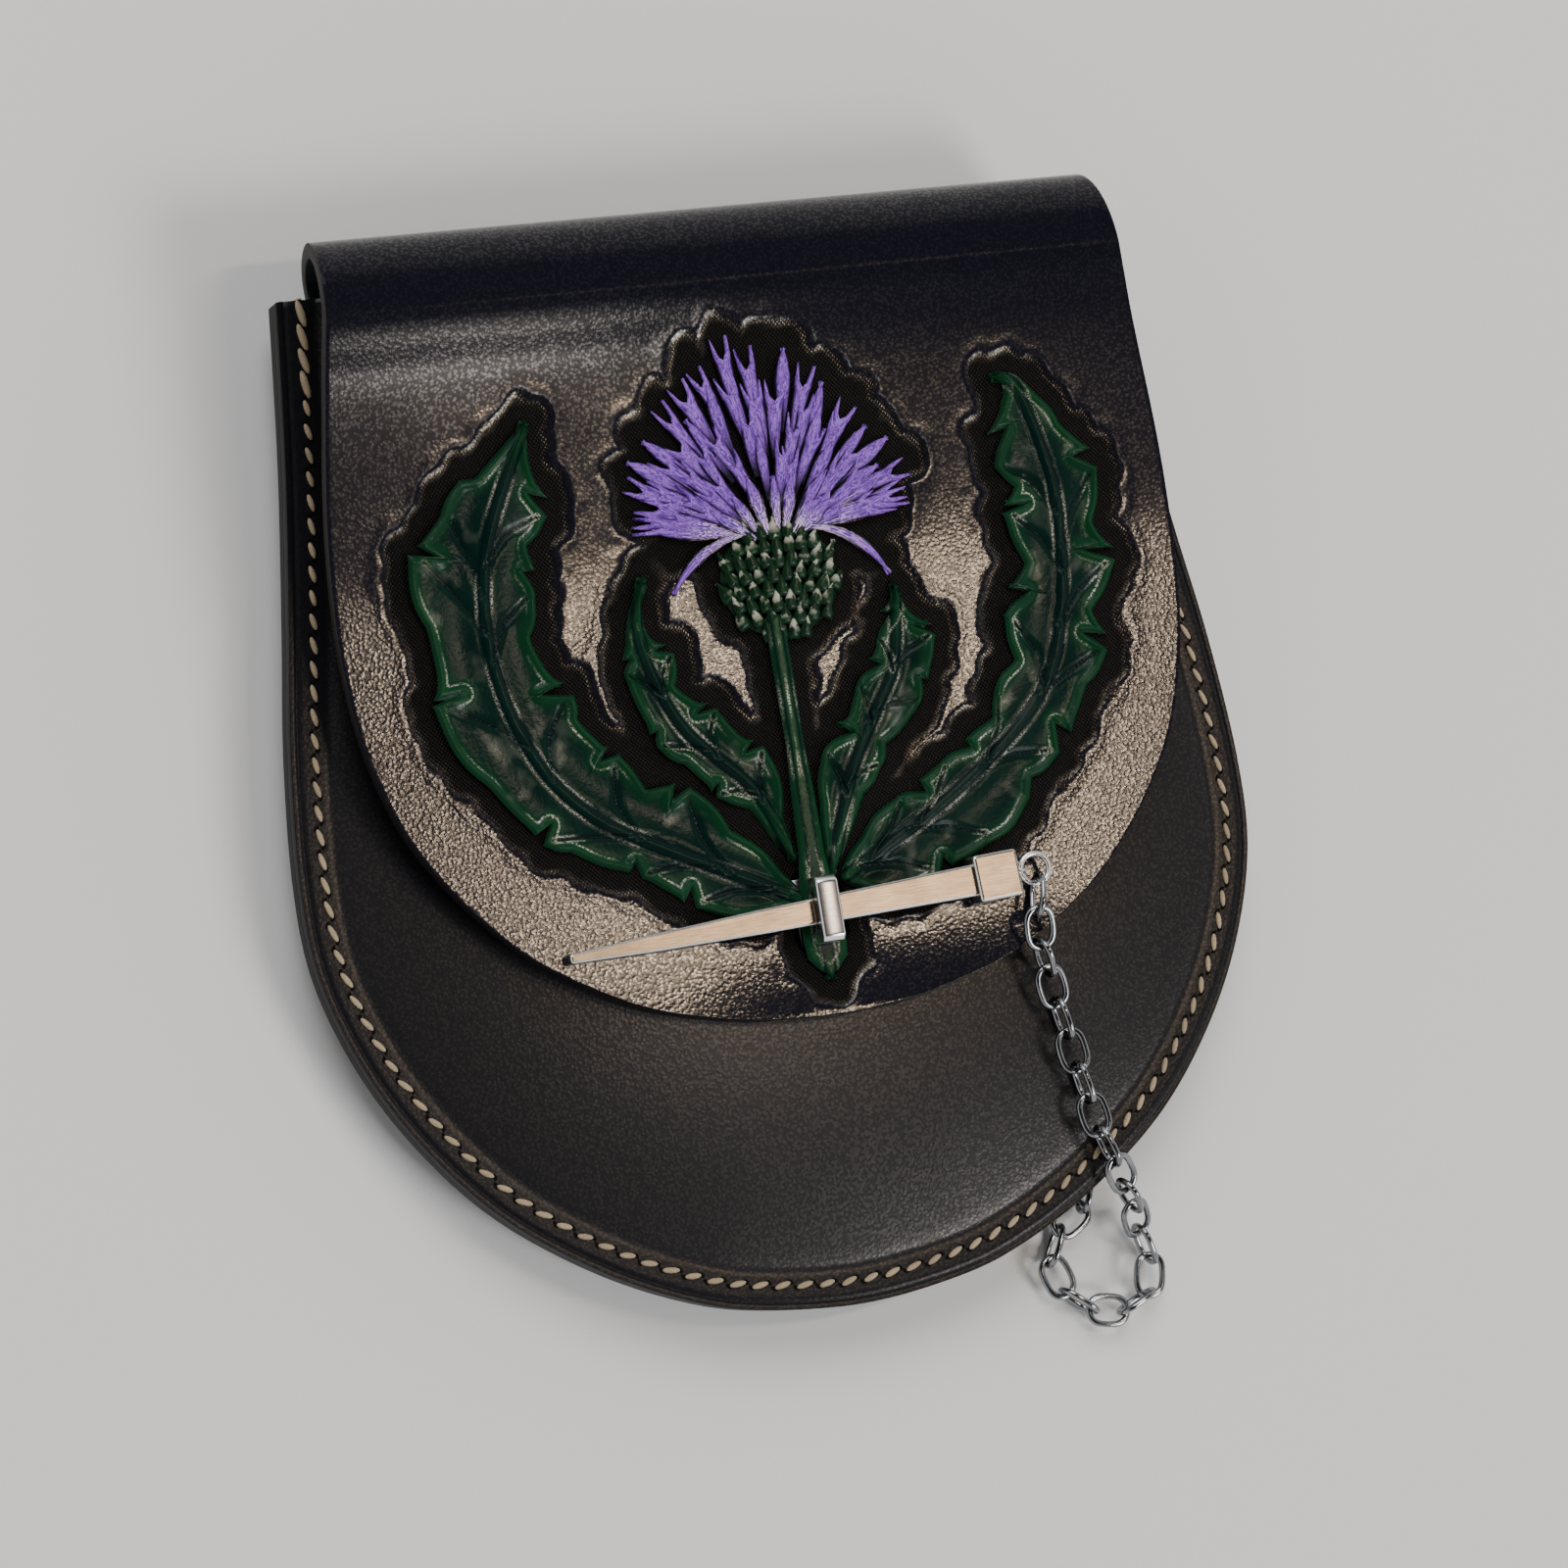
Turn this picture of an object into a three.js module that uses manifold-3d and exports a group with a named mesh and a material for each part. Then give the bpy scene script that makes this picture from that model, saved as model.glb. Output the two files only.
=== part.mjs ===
// Sporran pouch: a moulded leather pocket with a carved flap, a pin clasp and a chain.
// Millimetres. X to the right, Y up towards the roll, Z out of the front.
// The pouch lies on its back: z = 0 is the outer face of the belt loop, x = y = 0 its middle.

import * as THREE from 'three';
import { mergeVertices } from 'three/addons/utils/BufferGeometryUtils.js';
import Module from 'manifold-3d';

const wasm = await Module();
wasm.setup();

// Leather and the gaps between pieces
const hide = 3.0; // back, flap and pocket front
const loopHide = 2.6; // belt loop
const seam = 0.2; // left between layers that are sewn or riveted together
const clearance = 0.3; // left between pieces that rest on each other

// Belt loop
const beltGap = 5.0; // room for the belt's thickness
const beltWide = 62; // room for the belt's width
const loopLong = 96; // along the belt
const loopBend = 10; // where the strip rises to the back
const loopTab = 14; // sewn down at each end

// Pocket
const pocketHalf = 100; // half the widest width
const pocketDrop = 209.8; // top edge to the lowest point
const pocketTop = 88; // top edge above the middle of the belt loop
const rimWide = 7.5; // flat sewn rim
const domeRise = 11.3; // the mouth's middle above the rim
const domeFull = 2.2; // how full the dome's shoulder is
const edgeSteps = 58; // straight pieces of its outline

// Flap and its roll
const strapHalf = 79.3; // half width where the leather leaves the pocket's back
const flapHalf = 88.3; // half the widest width of the front
const flapDrop = 153; // from the pocket's top edge down to the flap's lowest point
const rollHigh = 25.4; // front of the roll above the back's outer face
const rollReach = 9.5; // how far the roll stands above the pocket's top edge
const slotWide = 12;
const slotLong = 18.5;
const slotDrop = 132.5; // middle of the slot below the pocket's top edge

// Carved thistle
const relief = 0.9; // raised above the flap's face
const flowerReach = 38.9; // longest petal from the middle of the fan
const bulbHalf = 12.3;
const bulbTall = 22.6;
const stemHalf = 2.0;
const largeLobe = 16; // widest lobe of a large leaf from its midrib
const smallLobe = 8.4; // the same of a small leaf

// Clasp
const stapleWide = 4.7;
const stapleLong = 13.2;
const stapleBar = 2.6; // thickness of the bar over the pin
const stapleLeg = 2.8;
const stapleFoot = 1.0; // plate on the pocket front
const footWide = 8;
const footLong = 14;
const pinLong = 85; // tip to collar
const pinWide = 6.3; // at the collar
const pinThick = 2.7;
const pinBehind = 53; // tip to the left of the slot's middle
const pinTurn = 2.7; // degrees up to the right
const collarSide = 9.3;
const collarThick = 5.4;
const ringWire = 1.2;
const ringOuter = 7.2;
const edgeBevel = 0.45;

// Chain
const linkLong = 9.8;
const linkWide = 7.0;
const linkWire = 1.3;
const linkGap = 0.35; // between the wires of two links where they hold each other
const anchorWire = 1.6;
const anchorHalf = 4.2;

// Half the pocket's outline: share of the drop, share of the half width
const pocketOutline = [
  { down: 0.0, out: 0.871 },
  { down: 0.15, out: 0.902 },
  { down: 0.3, out: 0.944 },
  { down: 0.42, out: 0.98 },
  { down: 0.54, out: 1.0 },
  { down: 0.63, out: 0.988 },
  { down: 0.72, out: 0.924 },
  { down: 0.8, out: 0.825 },
  { down: 0.87, out: 0.696 },
  { down: 0.93, out: 0.524 },
  { down: 0.97, out: 0.356 },
  { down: 0.99, out: 0.21 },
];

// Half the flap's outline: share of the drop, share of the half width
const flapOutline = [
  { down: 0.0, out: 0.935 },
  { down: 0.065, out: 0.947 },
  { down: 0.163, out: 0.966 },
  { down: 0.294, out: 0.991 },
  { down: 0.392, out: 1.0 },
  { down: 0.49, out: 0.998 },
  { down: 0.588, out: 0.977 },
  { down: 0.686, out: 0.926 },
  { down: 0.752, out: 0.863 },
  { down: 0.817, out: 0.776 },
  { down: 0.876, out: 0.672 },
  { down: 0.928, out: 0.532 },
  { down: 0.961, out: 0.41 },
  { down: 0.98, out: 0.291 },
  { down: 0.993, out: 0.176 },
  { down: 1.0, out: 0.03 },
];

// Height of the flap's face over the back's outer face: share of the drop, share of the roll
const flapFace = [
  { down: 0.0, high: 1.0 },
  { down: 0.13, high: 0.941 },
  { down: 0.26, high: 0.847 },
  { down: 0.39, high: 0.768 },
  { down: 0.52, high: 0.709 },
  { down: 0.65, high: 0.669 },
  { down: 0.78, high: 0.654 },
  { down: 1.0, high: 0.669 },
];

// Height of the pocket's middle line over its rim: share of the pocket's drop, share of the rise
const domeLine = [
  { down: 0.0, rise: 1.0 },
  { down: 0.1, rise: 0.97 },
  { down: 0.2, rise: 0.9 },
  { down: 0.3, rise: 0.78 },
  { down: 0.4, rise: 0.69 },
  { down: 0.5, rise: 0.62 },
  { down: 0.55, rise: 0.6 },
];
const domeFocus = 0.55; // share of the drop where the lower dome has its middle

// Petals of the fan, anticlockwise from the right: turn in degrees, share of the longest petal
const petals = [
  { turn: -18, reach: 0.59 },
  { turn: 1, reach: 0.6 },
  { turn: 9, reach: 0.64 },
  { turn: 22, reach: 0.8 },
  { turn: 35, reach: 0.75 },
  { turn: 43, reach: 0.76 },
  { turn: 51, reach: 0.81 },
  { turn: 65, reach: 0.84 },
  { turn: 78, reach: 0.93 },
  { turn: 87, reach: 0.95 },
  { turn: 100, reach: 1.0 },
  { turn: 112, reach: 0.96 },
  { turn: 127, reach: 0.87 },
  { turn: 140, reach: 0.86 },
  { turn: 154, reach: 0.84 },
  { turn: 167, reach: 0.76 },
  { turn: 184, reach: 0.59 },
];
const petalValley = 0.84; // share of a petal's reach where it parts from the next

// Places on the flap's face: across as a share of its half width, down as a share of its drop
const fanPlace = { across: 0.034, down: 0.373 };
const bulbPlace = { across: 0.027, down: 0.435 };
const stemLine = [
  { down: 0.5, half: 0.95 },
  { down: 0.66, half: 0.95 },
  { down: 0.8, half: 1.4 },
  { down: 0.9, half: 2.3 },
  { down: 0.93, half: 2.1 },
  { down: 0.957, half: 0.1 },
];

// Midribs from the foot of the plant to the leaf's tip
const midribs = {
  left_large: [
    { across: -0.03, down: 0.85 },
    { across: -0.3, down: 0.77 },
    { across: -0.485, down: 0.708 },
    { across: -0.6, down: 0.625 },
    { across: -0.663, down: 0.5 },
    { across: -0.645, down: 0.36 },
    { across: -0.518, down: 0.199 },
  ],
  left_small: [
    { across: -0.04, down: 0.8 },
    { across: -0.107, down: 0.7 },
    { across: -0.253, down: 0.606 },
    { across: -0.322, down: 0.489 },
    { across: -0.293, down: 0.41 },
  ],
  right_large: [
    { across: 0.06, down: 0.83 },
    { across: 0.35, down: 0.744 },
    { across: 0.6, down: 0.634 },
    { across: 0.694, down: 0.521 },
    { across: 0.719, down: 0.37 },
    { across: 0.657, down: 0.229 },
    { across: 0.589, down: 0.206 },
  ],
  right_small: [
    { across: 0.04, down: 0.825 },
    { across: 0.13, down: 0.695 },
    { across: 0.212, down: 0.618 },
    { across: 0.273, down: 0.556 },
    { across: 0.299, down: 0.456 },
  ],
};

// Leaf edges: share of the midrib's length, share of the widest lobe; a lobe's tip is
// followed by the notch behind it
const leafEdges = {
  left_large: {
    size: largeLobe,
    outer: [
      { along: 0.05, out: 0.34 },
      { along: 0.157, out: 0.56 },
      { along: 0.175, out: 0.34 },
      { along: 0.25, out: 0.44 },
      { along: 0.268, out: 0.3 },
      { along: 0.354, out: 0.53 },
      { along: 0.386, out: 0.67 },
      { along: 0.395, out: 0.41 },
      { along: 0.482, out: 0.7 },
      { along: 0.596, out: 0.89 },
      { along: 0.6, out: 0.46 },
      { along: 0.691, out: 0.76 },
      { along: 0.775, out: 0.98 },
      { along: 0.778, out: 0.58 },
      { along: 0.83, out: 0.62 },
      { along: 0.881, out: 0.55 },
      { along: 0.892, out: 0.36 },
    ],
    inner: [
      { along: 0.05, out: 0.26 },
      { along: 0.144, out: 0.52 },
      { along: 0.225, out: 0.83 },
      { along: 0.244, out: 0.6 },
      { along: 0.289, out: 0.58 },
      { along: 0.372, out: 0.83 },
      { along: 0.396, out: 0.62 },
      { along: 0.492, out: 0.73 },
      { along: 0.533, out: 0.83 },
      { along: 0.559, out: 0.475 },
      { along: 0.659, out: 0.54 },
      { along: 0.73, out: 0.66 },
      { along: 0.773, out: 0.5 },
      { along: 0.82, out: 0.48 },
      { along: 0.875, out: 0.64 },
      { along: 0.9, out: 0.33 },
    ],
  },
  left_small: {
    size: smallLobe,
    outer: [
      { along: 0.205, out: 0.37 },
      { along: 0.321, out: 0.79 },
      { along: 0.344, out: 0.52 },
      { along: 0.456, out: 0.63 },
      { along: 0.528, out: 0.82 },
      { along: 0.56, out: 0.6 },
      { along: 0.731, out: 0.63 },
      { along: 0.765, out: 0.37 },
    ],
    inner: [
      { along: 0.13, out: 0.25 },
      { along: 0.302, out: 0.92 },
      { along: 0.33, out: 0.55 },
      { along: 0.486, out: 0.92 },
      { along: 0.53, out: 0.5 },
      { along: 0.641, out: 0.42 },
      { along: 0.733, out: 0.71 },
      { along: 0.766, out: 0.32 },
    ],
  },
  right_large: {
    size: largeLobe,
    outer: [
      { along: 0.04, out: 0.44 },
      { along: 0.139, out: 0.7 },
      { along: 0.16, out: 0.54 },
      { along: 0.24, out: 0.8 },
      { along: 0.321, out: 0.72 },
      { along: 0.346, out: 0.56 },
      { along: 0.4, out: 0.63 },
      { along: 0.43, out: 0.38 },
      { along: 0.496, out: 0.52 },
      { along: 0.546, out: 0.69 },
      { along: 0.563, out: 0.34 },
      { along: 0.598, out: 0.37 },
      { along: 0.671, out: 0.74 },
      { along: 0.686, out: 0.31 },
      { along: 0.726, out: 0.41 },
      { along: 0.795, out: 0.66 },
      { along: 0.82, out: 0.4 },
      { along: 0.873, out: 0.34 },
      { along: 0.93, out: 0.2 },
    ],
    inner: [
      { along: 0.072, out: 0.29 },
      { along: 0.16, out: 0.42 },
      { along: 0.2, out: 0.25 },
      { along: 0.257, out: 0.39 },
      { along: 0.307, out: 0.28 },
      { along: 0.371, out: 0.32 },
      { along: 0.407, out: 0.53 },
      { along: 0.484, out: 0.49 },
      { along: 0.566, out: 0.77 },
      { along: 0.616, out: 0.47 },
      { along: 0.664, out: 0.48 },
      { along: 0.755, out: 0.76 },
      { along: 0.768, out: 0.41 },
      { along: 0.801, out: 0.44 },
      { along: 0.845, out: 0.7 },
      { along: 0.9, out: 0.36 },
    ],
  },
  right_small: {
    size: smallLobe,
    outer: [
      { along: 0.295, out: 0.44 },
      { along: 0.406, out: 0.64 },
      { along: 0.487, out: 0.55 },
      { along: 0.661, out: 0.93 },
      { along: 0.715, out: 0.75 },
      { along: 0.833, out: 1.0 },
      { along: 0.86, out: 0.5 },
    ],
    inner: [
      { along: 0.227, out: 0.62 },
      { along: 0.376, out: 0.86 },
      { along: 0.467, out: 0.36 },
      { along: 0.618, out: 0.7 },
      { along: 0.723, out: 0.35 },
      { along: 0.811, out: 0.44 },
      { along: 0.9, out: 0.1 },
    ],
  },
};

// Middle line of the chain, chosen by hand. First from the pin's ring to the flap's edge: shares of
// the flap's half width and drop, height above the table
const chainOnFlap = [
  { across: 0.4972, down: 0.9020, high: 29.3 },
  { across: 0.5017, down: 0.9438, high: 27.4 },
];

// Then down the pocket, over its rim, one loop on the table, and back under the pouch: shares of the
// pocket's half width and drop
const chainOnPocket = [
  { across: 0.4660, down: 0.7207, high: 22.6 },
  { across: 0.4820, down: 0.7521, high: 21.2 },
  { across: 0.4980, down: 0.7860, high: 20.4 },
  { across: 0.5120, down: 0.8203, high: 19.6 },
  { across: 0.5290, down: 0.8518, high: 18.8 },
  { across: 0.5470, down: 0.8880, high: 18.1 },
  { across: 0.5740, down: 0.9161, high: 17.4 },
  { across: 0.6040, down: 0.9390, high: 13.2 },
  { across: 0.6310, down: 0.9628, high: 7.9 },
  { across: 0.6560, down: 0.9924, high: 4.6 },
  { across: 0.6700, down: 1.0181, high: 3.6 },
  { across: 0.6480, down: 1.0410, high: 3.6 },
  { across: 0.5920, down: 1.0515, high: 3.6 },
  { across: 0.5300, down: 1.0467, high: 3.6 },
  { across: 0.4780, down: 1.0286, high: 3.6 },
  { across: 0.4480, down: 0.9990, high: 3.6 },
  { across: 0.4680, down: 0.9685, high: 3.6 },
  { across: 0.5240, down: 0.9533, high: 3.6 },
  { across: 0.5600, down: 0.9314, high: 3.6 },
  { across: 0.5500, down: 0.8985, high: 3.6 },
  { across: 0.5100, down: 0.8675, high: 3.6 },
  { across: 0.4800, down: 0.8294, high: 3.6 },
];

// Heights that follow from the sizes above
const backLow = loopHide + beltGap; // back's outer face
const backHigh = backLow + hide;
const rimLow = backHigh + seam;
const rimHigh = rimLow + hide;

const leather = new THREE.MeshStandardMaterial({ color: 0x1c1b1e, roughness: 0.5, metalness: 0 });
const pewter = new THREE.MeshStandardMaterial({ color: 0xb9a891, roughness: 0.32, metalness: 1 });
const steel = new THREE.MeshStandardMaterial({ color: 0x8d8f93, roughness: 0.25, metalness: 1 });

// A value read from a table by a smooth curve through its rows
function readTable(rows, from, to, at) {
  const last = rows.length - 1;
  let i = 0;
  while (i < last - 1 && rows[i + 1][from] < at) i += 1;
  const before = rows[Math.max(i - 1, 0)];
  const a = rows[i];
  const b = rows[i + 1];
  const after = rows[Math.min(i + 2, last)];
  const span = b[from] - a[from];
  const share = Math.min(Math.max((at - a[from]) / span, 0), 1);
  const slopeA = ((b[to] - before[to]) / (b[from] - before[from])) * span;
  const slopeB = ((after[to] - a[to]) / (after[from] - a[from])) * span;
  const s2 = share * share;
  const s3 = s2 * share;
  return (
    (2 * s3 - 3 * s2 + 1) * a[to] +
    (s3 - 2 * s2 + share) * slopeA +
    (3 * s2 - 2 * s3) * b[to] +
    (s3 - s2) * slopeB
  );
}

// A closed mesh becomes a solid that can be joined and cut
function toSolid(geometry) {
  const bare = new THREE.BufferGeometry();
  bare.setAttribute('position', geometry.getAttribute('position').clone());
  if (geometry.index) bare.setIndex(Array.from(geometry.index.array));
  const merged = mergeVertices(bare, 1e-4);
  const corners = merged.index.array;
  const kept = [];
  for (let i = 0; i < corners.length; i += 3) {
    const [a, b, c] = [corners[i], corners[i + 1], corners[i + 2]];
    if (a !== b && b !== c && c !== a) kept.push(a, b, c);
  }
  const vertProperties = new Float32Array(merged.getAttribute('position').array);
  return new wasm.Manifold(
    new wasm.Mesh({ numProp: 3, vertProperties, triVerts: new Uint32Array(kept) }),
  );
}

function toGeometry(solid) {
  const mesh = solid.getMesh();
  const geometry = new THREE.BufferGeometry();
  geometry.setAttribute('position', new THREE.BufferAttribute(mesh.vertProperties, 3));
  geometry.setIndex(new THREE.BufferAttribute(mesh.triVerts, 1));
  geometry.computeVertexNormals();
  return geometry;
}

// Triangles between rows of points, each row as long as the next
function stitchRows(rows, closed) {
  const wide = rows[0].length;
  const points = rows.flat();
  const corners = [];
  const steps = closed ? wide : wide - 1;
  for (let r = 0; r < rows.length - 1; r += 1) {
    for (let c = 0; c < steps; c += 1) {
      const a = r * wide + c;
      const b = r * wide + ((c + 1) % wide);
      corners.push(a, b, b + wide, a, b + wide, a + wide);
    }
  }
  return { points, corners };
}

function meshOf(points, corners) {
  const geometry = new THREE.BufferGeometry();
  geometry.setAttribute('position', new THREE.Float32BufferAttribute(points.flat(), 3));
  geometry.setIndex(corners);
  return geometry;
}

// Plan outline of the pocket from its top left corner round to the top right
function pocketEdge() {
  const half = [];
  for (const row of pocketOutline) half.push([row.out * pocketHalf, pocketTop - row.down * pocketDrop]);
  const left = half.map(([x, y]) => new THREE.Vector2(-x, y));
  const right = half.map(([x, y]) => new THREE.Vector2(x, y)).reverse();
  const curve = new THREE.SplineCurve([...left, new THREE.Vector2(0, pocketTop - pocketDrop), ...right]);
  return curve.getSpacedPoints(edgeSteps);
}

// Height of the pocket front's outer face over its rim, a given way in from its edge
function domeHeight(edgeX, edgeY, inward) {
  const focusY = Math.max(edgeY, pocketTop - domeFocus * pocketDrop);
  const reach = Math.hypot(edgeX, edgeY - focusY);
  const share = Math.min(Math.max((inward * reach - rimWide) / (reach - rimWide), 0), 1);
  const line = readTable(domeLine, 'down', 'rise', (pocketTop - focusY) / pocketDrop);
  return domeRise * line * (1 - (1 - share) ** domeFull);
}

// Moulded front: a flat rim that rises to a dome, open at the pocket's mouth
function makePocketFront() {
  const edge = pocketEdge();
  const shares = [0.12, 0.28, 0.5, 0.75, 1];
  const layer = (low) => {
    const rings = [edge.map((p) => [p.x, p.y, low])];
    const ringAt = (inwardOf) => edge.map((p) => {
      const focusY = Math.max(p.y, pocketTop - domeFocus * pocketDrop);
      const reach = Math.hypot(p.x, p.y - focusY);
      const inward = inwardOf(reach);
      const x = p.x * (1 - inward);
      const y = p.y + (focusY - p.y) * inward;
      return [x, y, low + domeHeight(p.x, p.y, inward)];
    });
    rings.push(ringAt((reach) => rimWide / reach));
    for (const share of shares) rings.push(ringAt((reach) => (rimWide + share * (reach - rimWide)) / reach));
    return rings;
  };
  const top = stitchRows(layer(rimHigh), false);
  const bottom = stitchRows(layer(rimLow), false);
  const count = top.points.length;
  const corners = [...top.corners];
  for (let i = 0; i < bottom.corners.length; i += 3) {
    corners.push(bottom.corners[i] + count, bottom.corners[i + 2] + count, bottom.corners[i + 1] + count);
  }
  const wide = edge.length;
  const wall = (a, b) => corners.push(a, a + count, b + count, a, b + count, b);
  for (let c = 0; c < wide - 1; c += 1) wall(c, c + 1);
  for (let r = 0; r < shares.length + 1; r += 1) {
    wall((r + 1) * wide, r * wide);
    wall(r * wide + wide - 1, (r + 1) * wide + wide - 1);
  }
  return toGeometry(toSolid(meshOf([...top.points, ...bottom.points], corners)));
}

// Stations along the strip of leather: from inside the back, round the roll, down to the flap's tip
function flapStations() {
  const stations = [];
  const overlap = 14;
  stations.push({ y: pocketTop - overlap, z: backLow, normalY: 0, normalZ: -1, half: strapHalf });
  const near = 0.02;
  const fall = readTable(flapFace, 'down', 'high', 0) - readTable(flapFace, 'down', 'high', near);
  const lean = (fall * rollHigh) / (near * flapDrop);
  const lastTurn = Math.PI / 2 + Math.atan((lean * rollReach * 2) / rollHigh);
  const turns = 12;
  const topHalf = flapOutline[0].out * flapHalf;
  for (let i = 0; i <= turns; i += 1) {
    const turn = -Math.PI / 2 + ((lastTurn + Math.PI / 2) * i) / turns;
    const normal = new THREE.Vector2(Math.cos(turn) / rollReach, (2 * Math.sin(turn)) / rollHigh).normalize();
    stations.push({
      y: pocketTop + rollReach * Math.cos(turn),
      z: backLow + (rollHigh / 2) * (1 + Math.sin(turn)),
      normalY: normal.x,
      normalZ: normal.y,
      half: strapHalf + ((topHalf - strapHalf) * i) / turns,
    });
  }
  const faceFrom = 0.03;
  return stations.concat(faceStations(faceFrom, 1));
}

// Stations of the flap's front alone, closer together towards its round end
function faceStations(first, last) {
  const stations = [];
  const count = 24;
  const crowding = 1.7;
  for (let i = 0; i <= count; i += 1) {
    const share = i / count;
    const down = first + (last - first) * (1 - (1 - share) ** crowding);
    const step = 0.004;
    const high = (at) => readTable(flapFace, 'down', 'high', at) * rollHigh;
    const rise = (high(down - step) - high(down + step)) / (2 * step * flapDrop);
    const normal = new THREE.Vector2(-rise, 1).normalize();
    stations.push({
      y: pocketTop - down * flapDrop,
      z: backLow + high(down),
      normalY: normal.x,
      normalZ: normal.y,
      half: readTable(flapOutline, 'down', 'out', down) * flapHalf,
    });
  }
  return stations;
}

// Solid between two offsets from the stations' outer face
function loft(stations, low, high) {
  const rows = stations.map((s) => {
    const at = (x, offset) => [x, s.y + s.normalY * offset, s.z + s.normalZ * offset];
    return [at(-s.half, high), at(s.half, high), at(s.half, low), at(-s.half, low)];
  });
  const { points, corners } = stitchRows(rows, true);
  const end = (rows.length - 1) * 4;
  corners.push(0, 2, 1, 0, 3, 2);
  corners.push(end, end + 1, end + 2, end, end + 2, end + 3);
  const turned = [];
  for (let i = 0; i < corners.length; i += 3) turned.push(corners[i], corners[i + 2], corners[i + 1]);
  return toSolid(meshOf(points, turned));
}

// Upright prism over a plan outline
function prism(points, low, high) {
  const geometry = new THREE.ExtrudeGeometry(new THREE.Shape(points), {
    depth: high - low,
    bevelEnabled: false,
    curveSegments: 12,
  });
  geometry.translate(0, 0, low);
  return toSolid(geometry);
}

function onFlap(place) {
  return new THREE.Vector2(place.across * flapHalf, pocketTop - place.down * flapDrop);
}

// Outline of a leaf: out along one edge of its midrib and back along the other
function leafShape(name, outerSide) {
  const rib = new THREE.SplineCurve(midribs[name].map(onFlap));
  const edges = leafEdges[name];
  const edgePoint = (row, side) => {
    const middle = rib.getPointAt(row.along);
    const ahead = rib.getTangentAt(row.along);
    const offset = row.out * edges.size * side;
    return new THREE.Vector2(middle.x - ahead.y * offset, middle.y + ahead.x * offset);
  };
  const outer = edges.outer.map((row) => edgePoint(row, outerSide));
  const inner = edges.inner.map((row) => edgePoint(row, -outerSide)).reverse();
  return [rib.getPointAt(0), ...outer, rib.getPointAt(1), ...inner];
}

// Outline of the fan of petals
function fanShape() {
  const middle = onFlap(fanPlace);
  const points = [];
  const at = (turn, reach) => {
    const angle = THREE.MathUtils.degToRad(turn);
    points.push(new THREE.Vector2(
      middle.x + Math.cos(angle) * reach * flowerReach,
      middle.y + Math.sin(angle) * reach * flowerReach,
    ));
  };
  petals.forEach((petal, i) => {
    at(petal.turn, petal.reach);
    if (i === petals.length - 1) return;
    const next = petals[i + 1];
    at((petal.turn + next.turn) / 2, Math.min(petal.reach, next.reach) * petalValley);
  });
  return points;
}

function bulbShape() {
  const middle = onFlap(bulbPlace);
  const outline = new THREE.EllipseCurve(middle.x, middle.y, bulbHalf, bulbTall / 2);
  return outline.getPoints(20).slice(0, -1);
}

function stemShape() {
  const right = stemLine.map((row) => (
    new THREE.Vector2(row.half * stemHalf, pocketTop - row.down * flapDrop)
  ));
  const left = right.map((p) => new THREE.Vector2(-p.x, p.y)).reverse();
  return [...right, ...left];
}

// The raised thistle: plan outlines cut from a layer that follows the flap's face
function makeThistle() {
  const [above, below] = [0.06, 0.99];
  const layer = faceStations(above, below).map((s) => ({ ...s, half: flapHalf }));
  const slab = loft(layer, -hide / 2, relief);
  const low = backLow;
  const high = backLow + rollHigh * 2;
  let plan = prism(fanShape(), low, high).add(prism(bulbShape(), low, high));
  plan = plan.add(prism(stemShape(), low, high));
  const sides = { left_large: 1, left_small: 1, right_large: -1, right_small: -1 };
  for (const [name, side] of Object.entries(sides)) plan = plan.add(prism(leafShape(name, side), low, high));
  return plan.intersect(slab);
}

// Back, roll and carved flap, cut from one piece of leather
function makeBackAndFlap() {
  const back = prism(pocketEdge(), backLow, backHigh);
  const strip = loft(flapStations(), -hide, 0);
  const slot = new THREE.Shape();
  const y = pocketTop - slotDrop;
  const straight = (slotLong - slotWide) / 2;
  slot.absarc(0, y + straight, slotWide / 2, 0, Math.PI);
  slot.absarc(0, y - straight, slotWide / 2, Math.PI, Math.PI * 2);
  const cut = prism(slot.getPoints(8), rimHigh, backLow + rollHigh * 2);
  return toGeometry(back.add(strip).add(makeThistle()).subtract(cut));
}

// Strip that stands off the back: sewn tabs, two bends and the flat face that the pouch rests on
function makeBeltLoop() {
  const flat = beltWide / 2;
  const tabLow = backLow - seam - loopHide;
  const bend = (share) => tabLow * (0.5 - 0.5 * Math.cos(Math.PI * share));
  const half = [[flat, 0]];
  for (const share of [0.25, 0.5, 0.75, 1]) half.push([flat + share * loopBend, bend(share)]);
  half.push([flat + loopBend + loopTab, tabLow]);
  const low = [...half.map(([y, z]) => [-y, z]).reverse(), ...half];
  const high = low.map(([y, z]) => [y, z + loopHide]).reverse();
  const section = new THREE.Shape([...low, ...high].map(([y, z]) => new THREE.Vector2(y, z)));
  const geometry = new THREE.ExtrudeGeometry(section, { depth: loopLong, bevelEnabled: false });
  geometry.translate(0, 0, -loopLong / 2);
  return toGeometry(toSolid(standUp(geometry)));
}

// Turns a section drawn in Y and Z, and extruded along X, the right way up
function standUp(geometry) {
  const turn = new THREE.Matrix4().set(0, 0, 1, 0, 1, 0, 0, 0, 0, 1, 0, 0, 0, 0, 0, 1);
  return geometry.applyMatrix4(turn);
}

const slotY = pocketTop - slotDrop;
const faceAtSlot = backLow + readTable(flapFace, 'down', 'high', slotDrop / flapDrop) * rollHigh;

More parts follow.
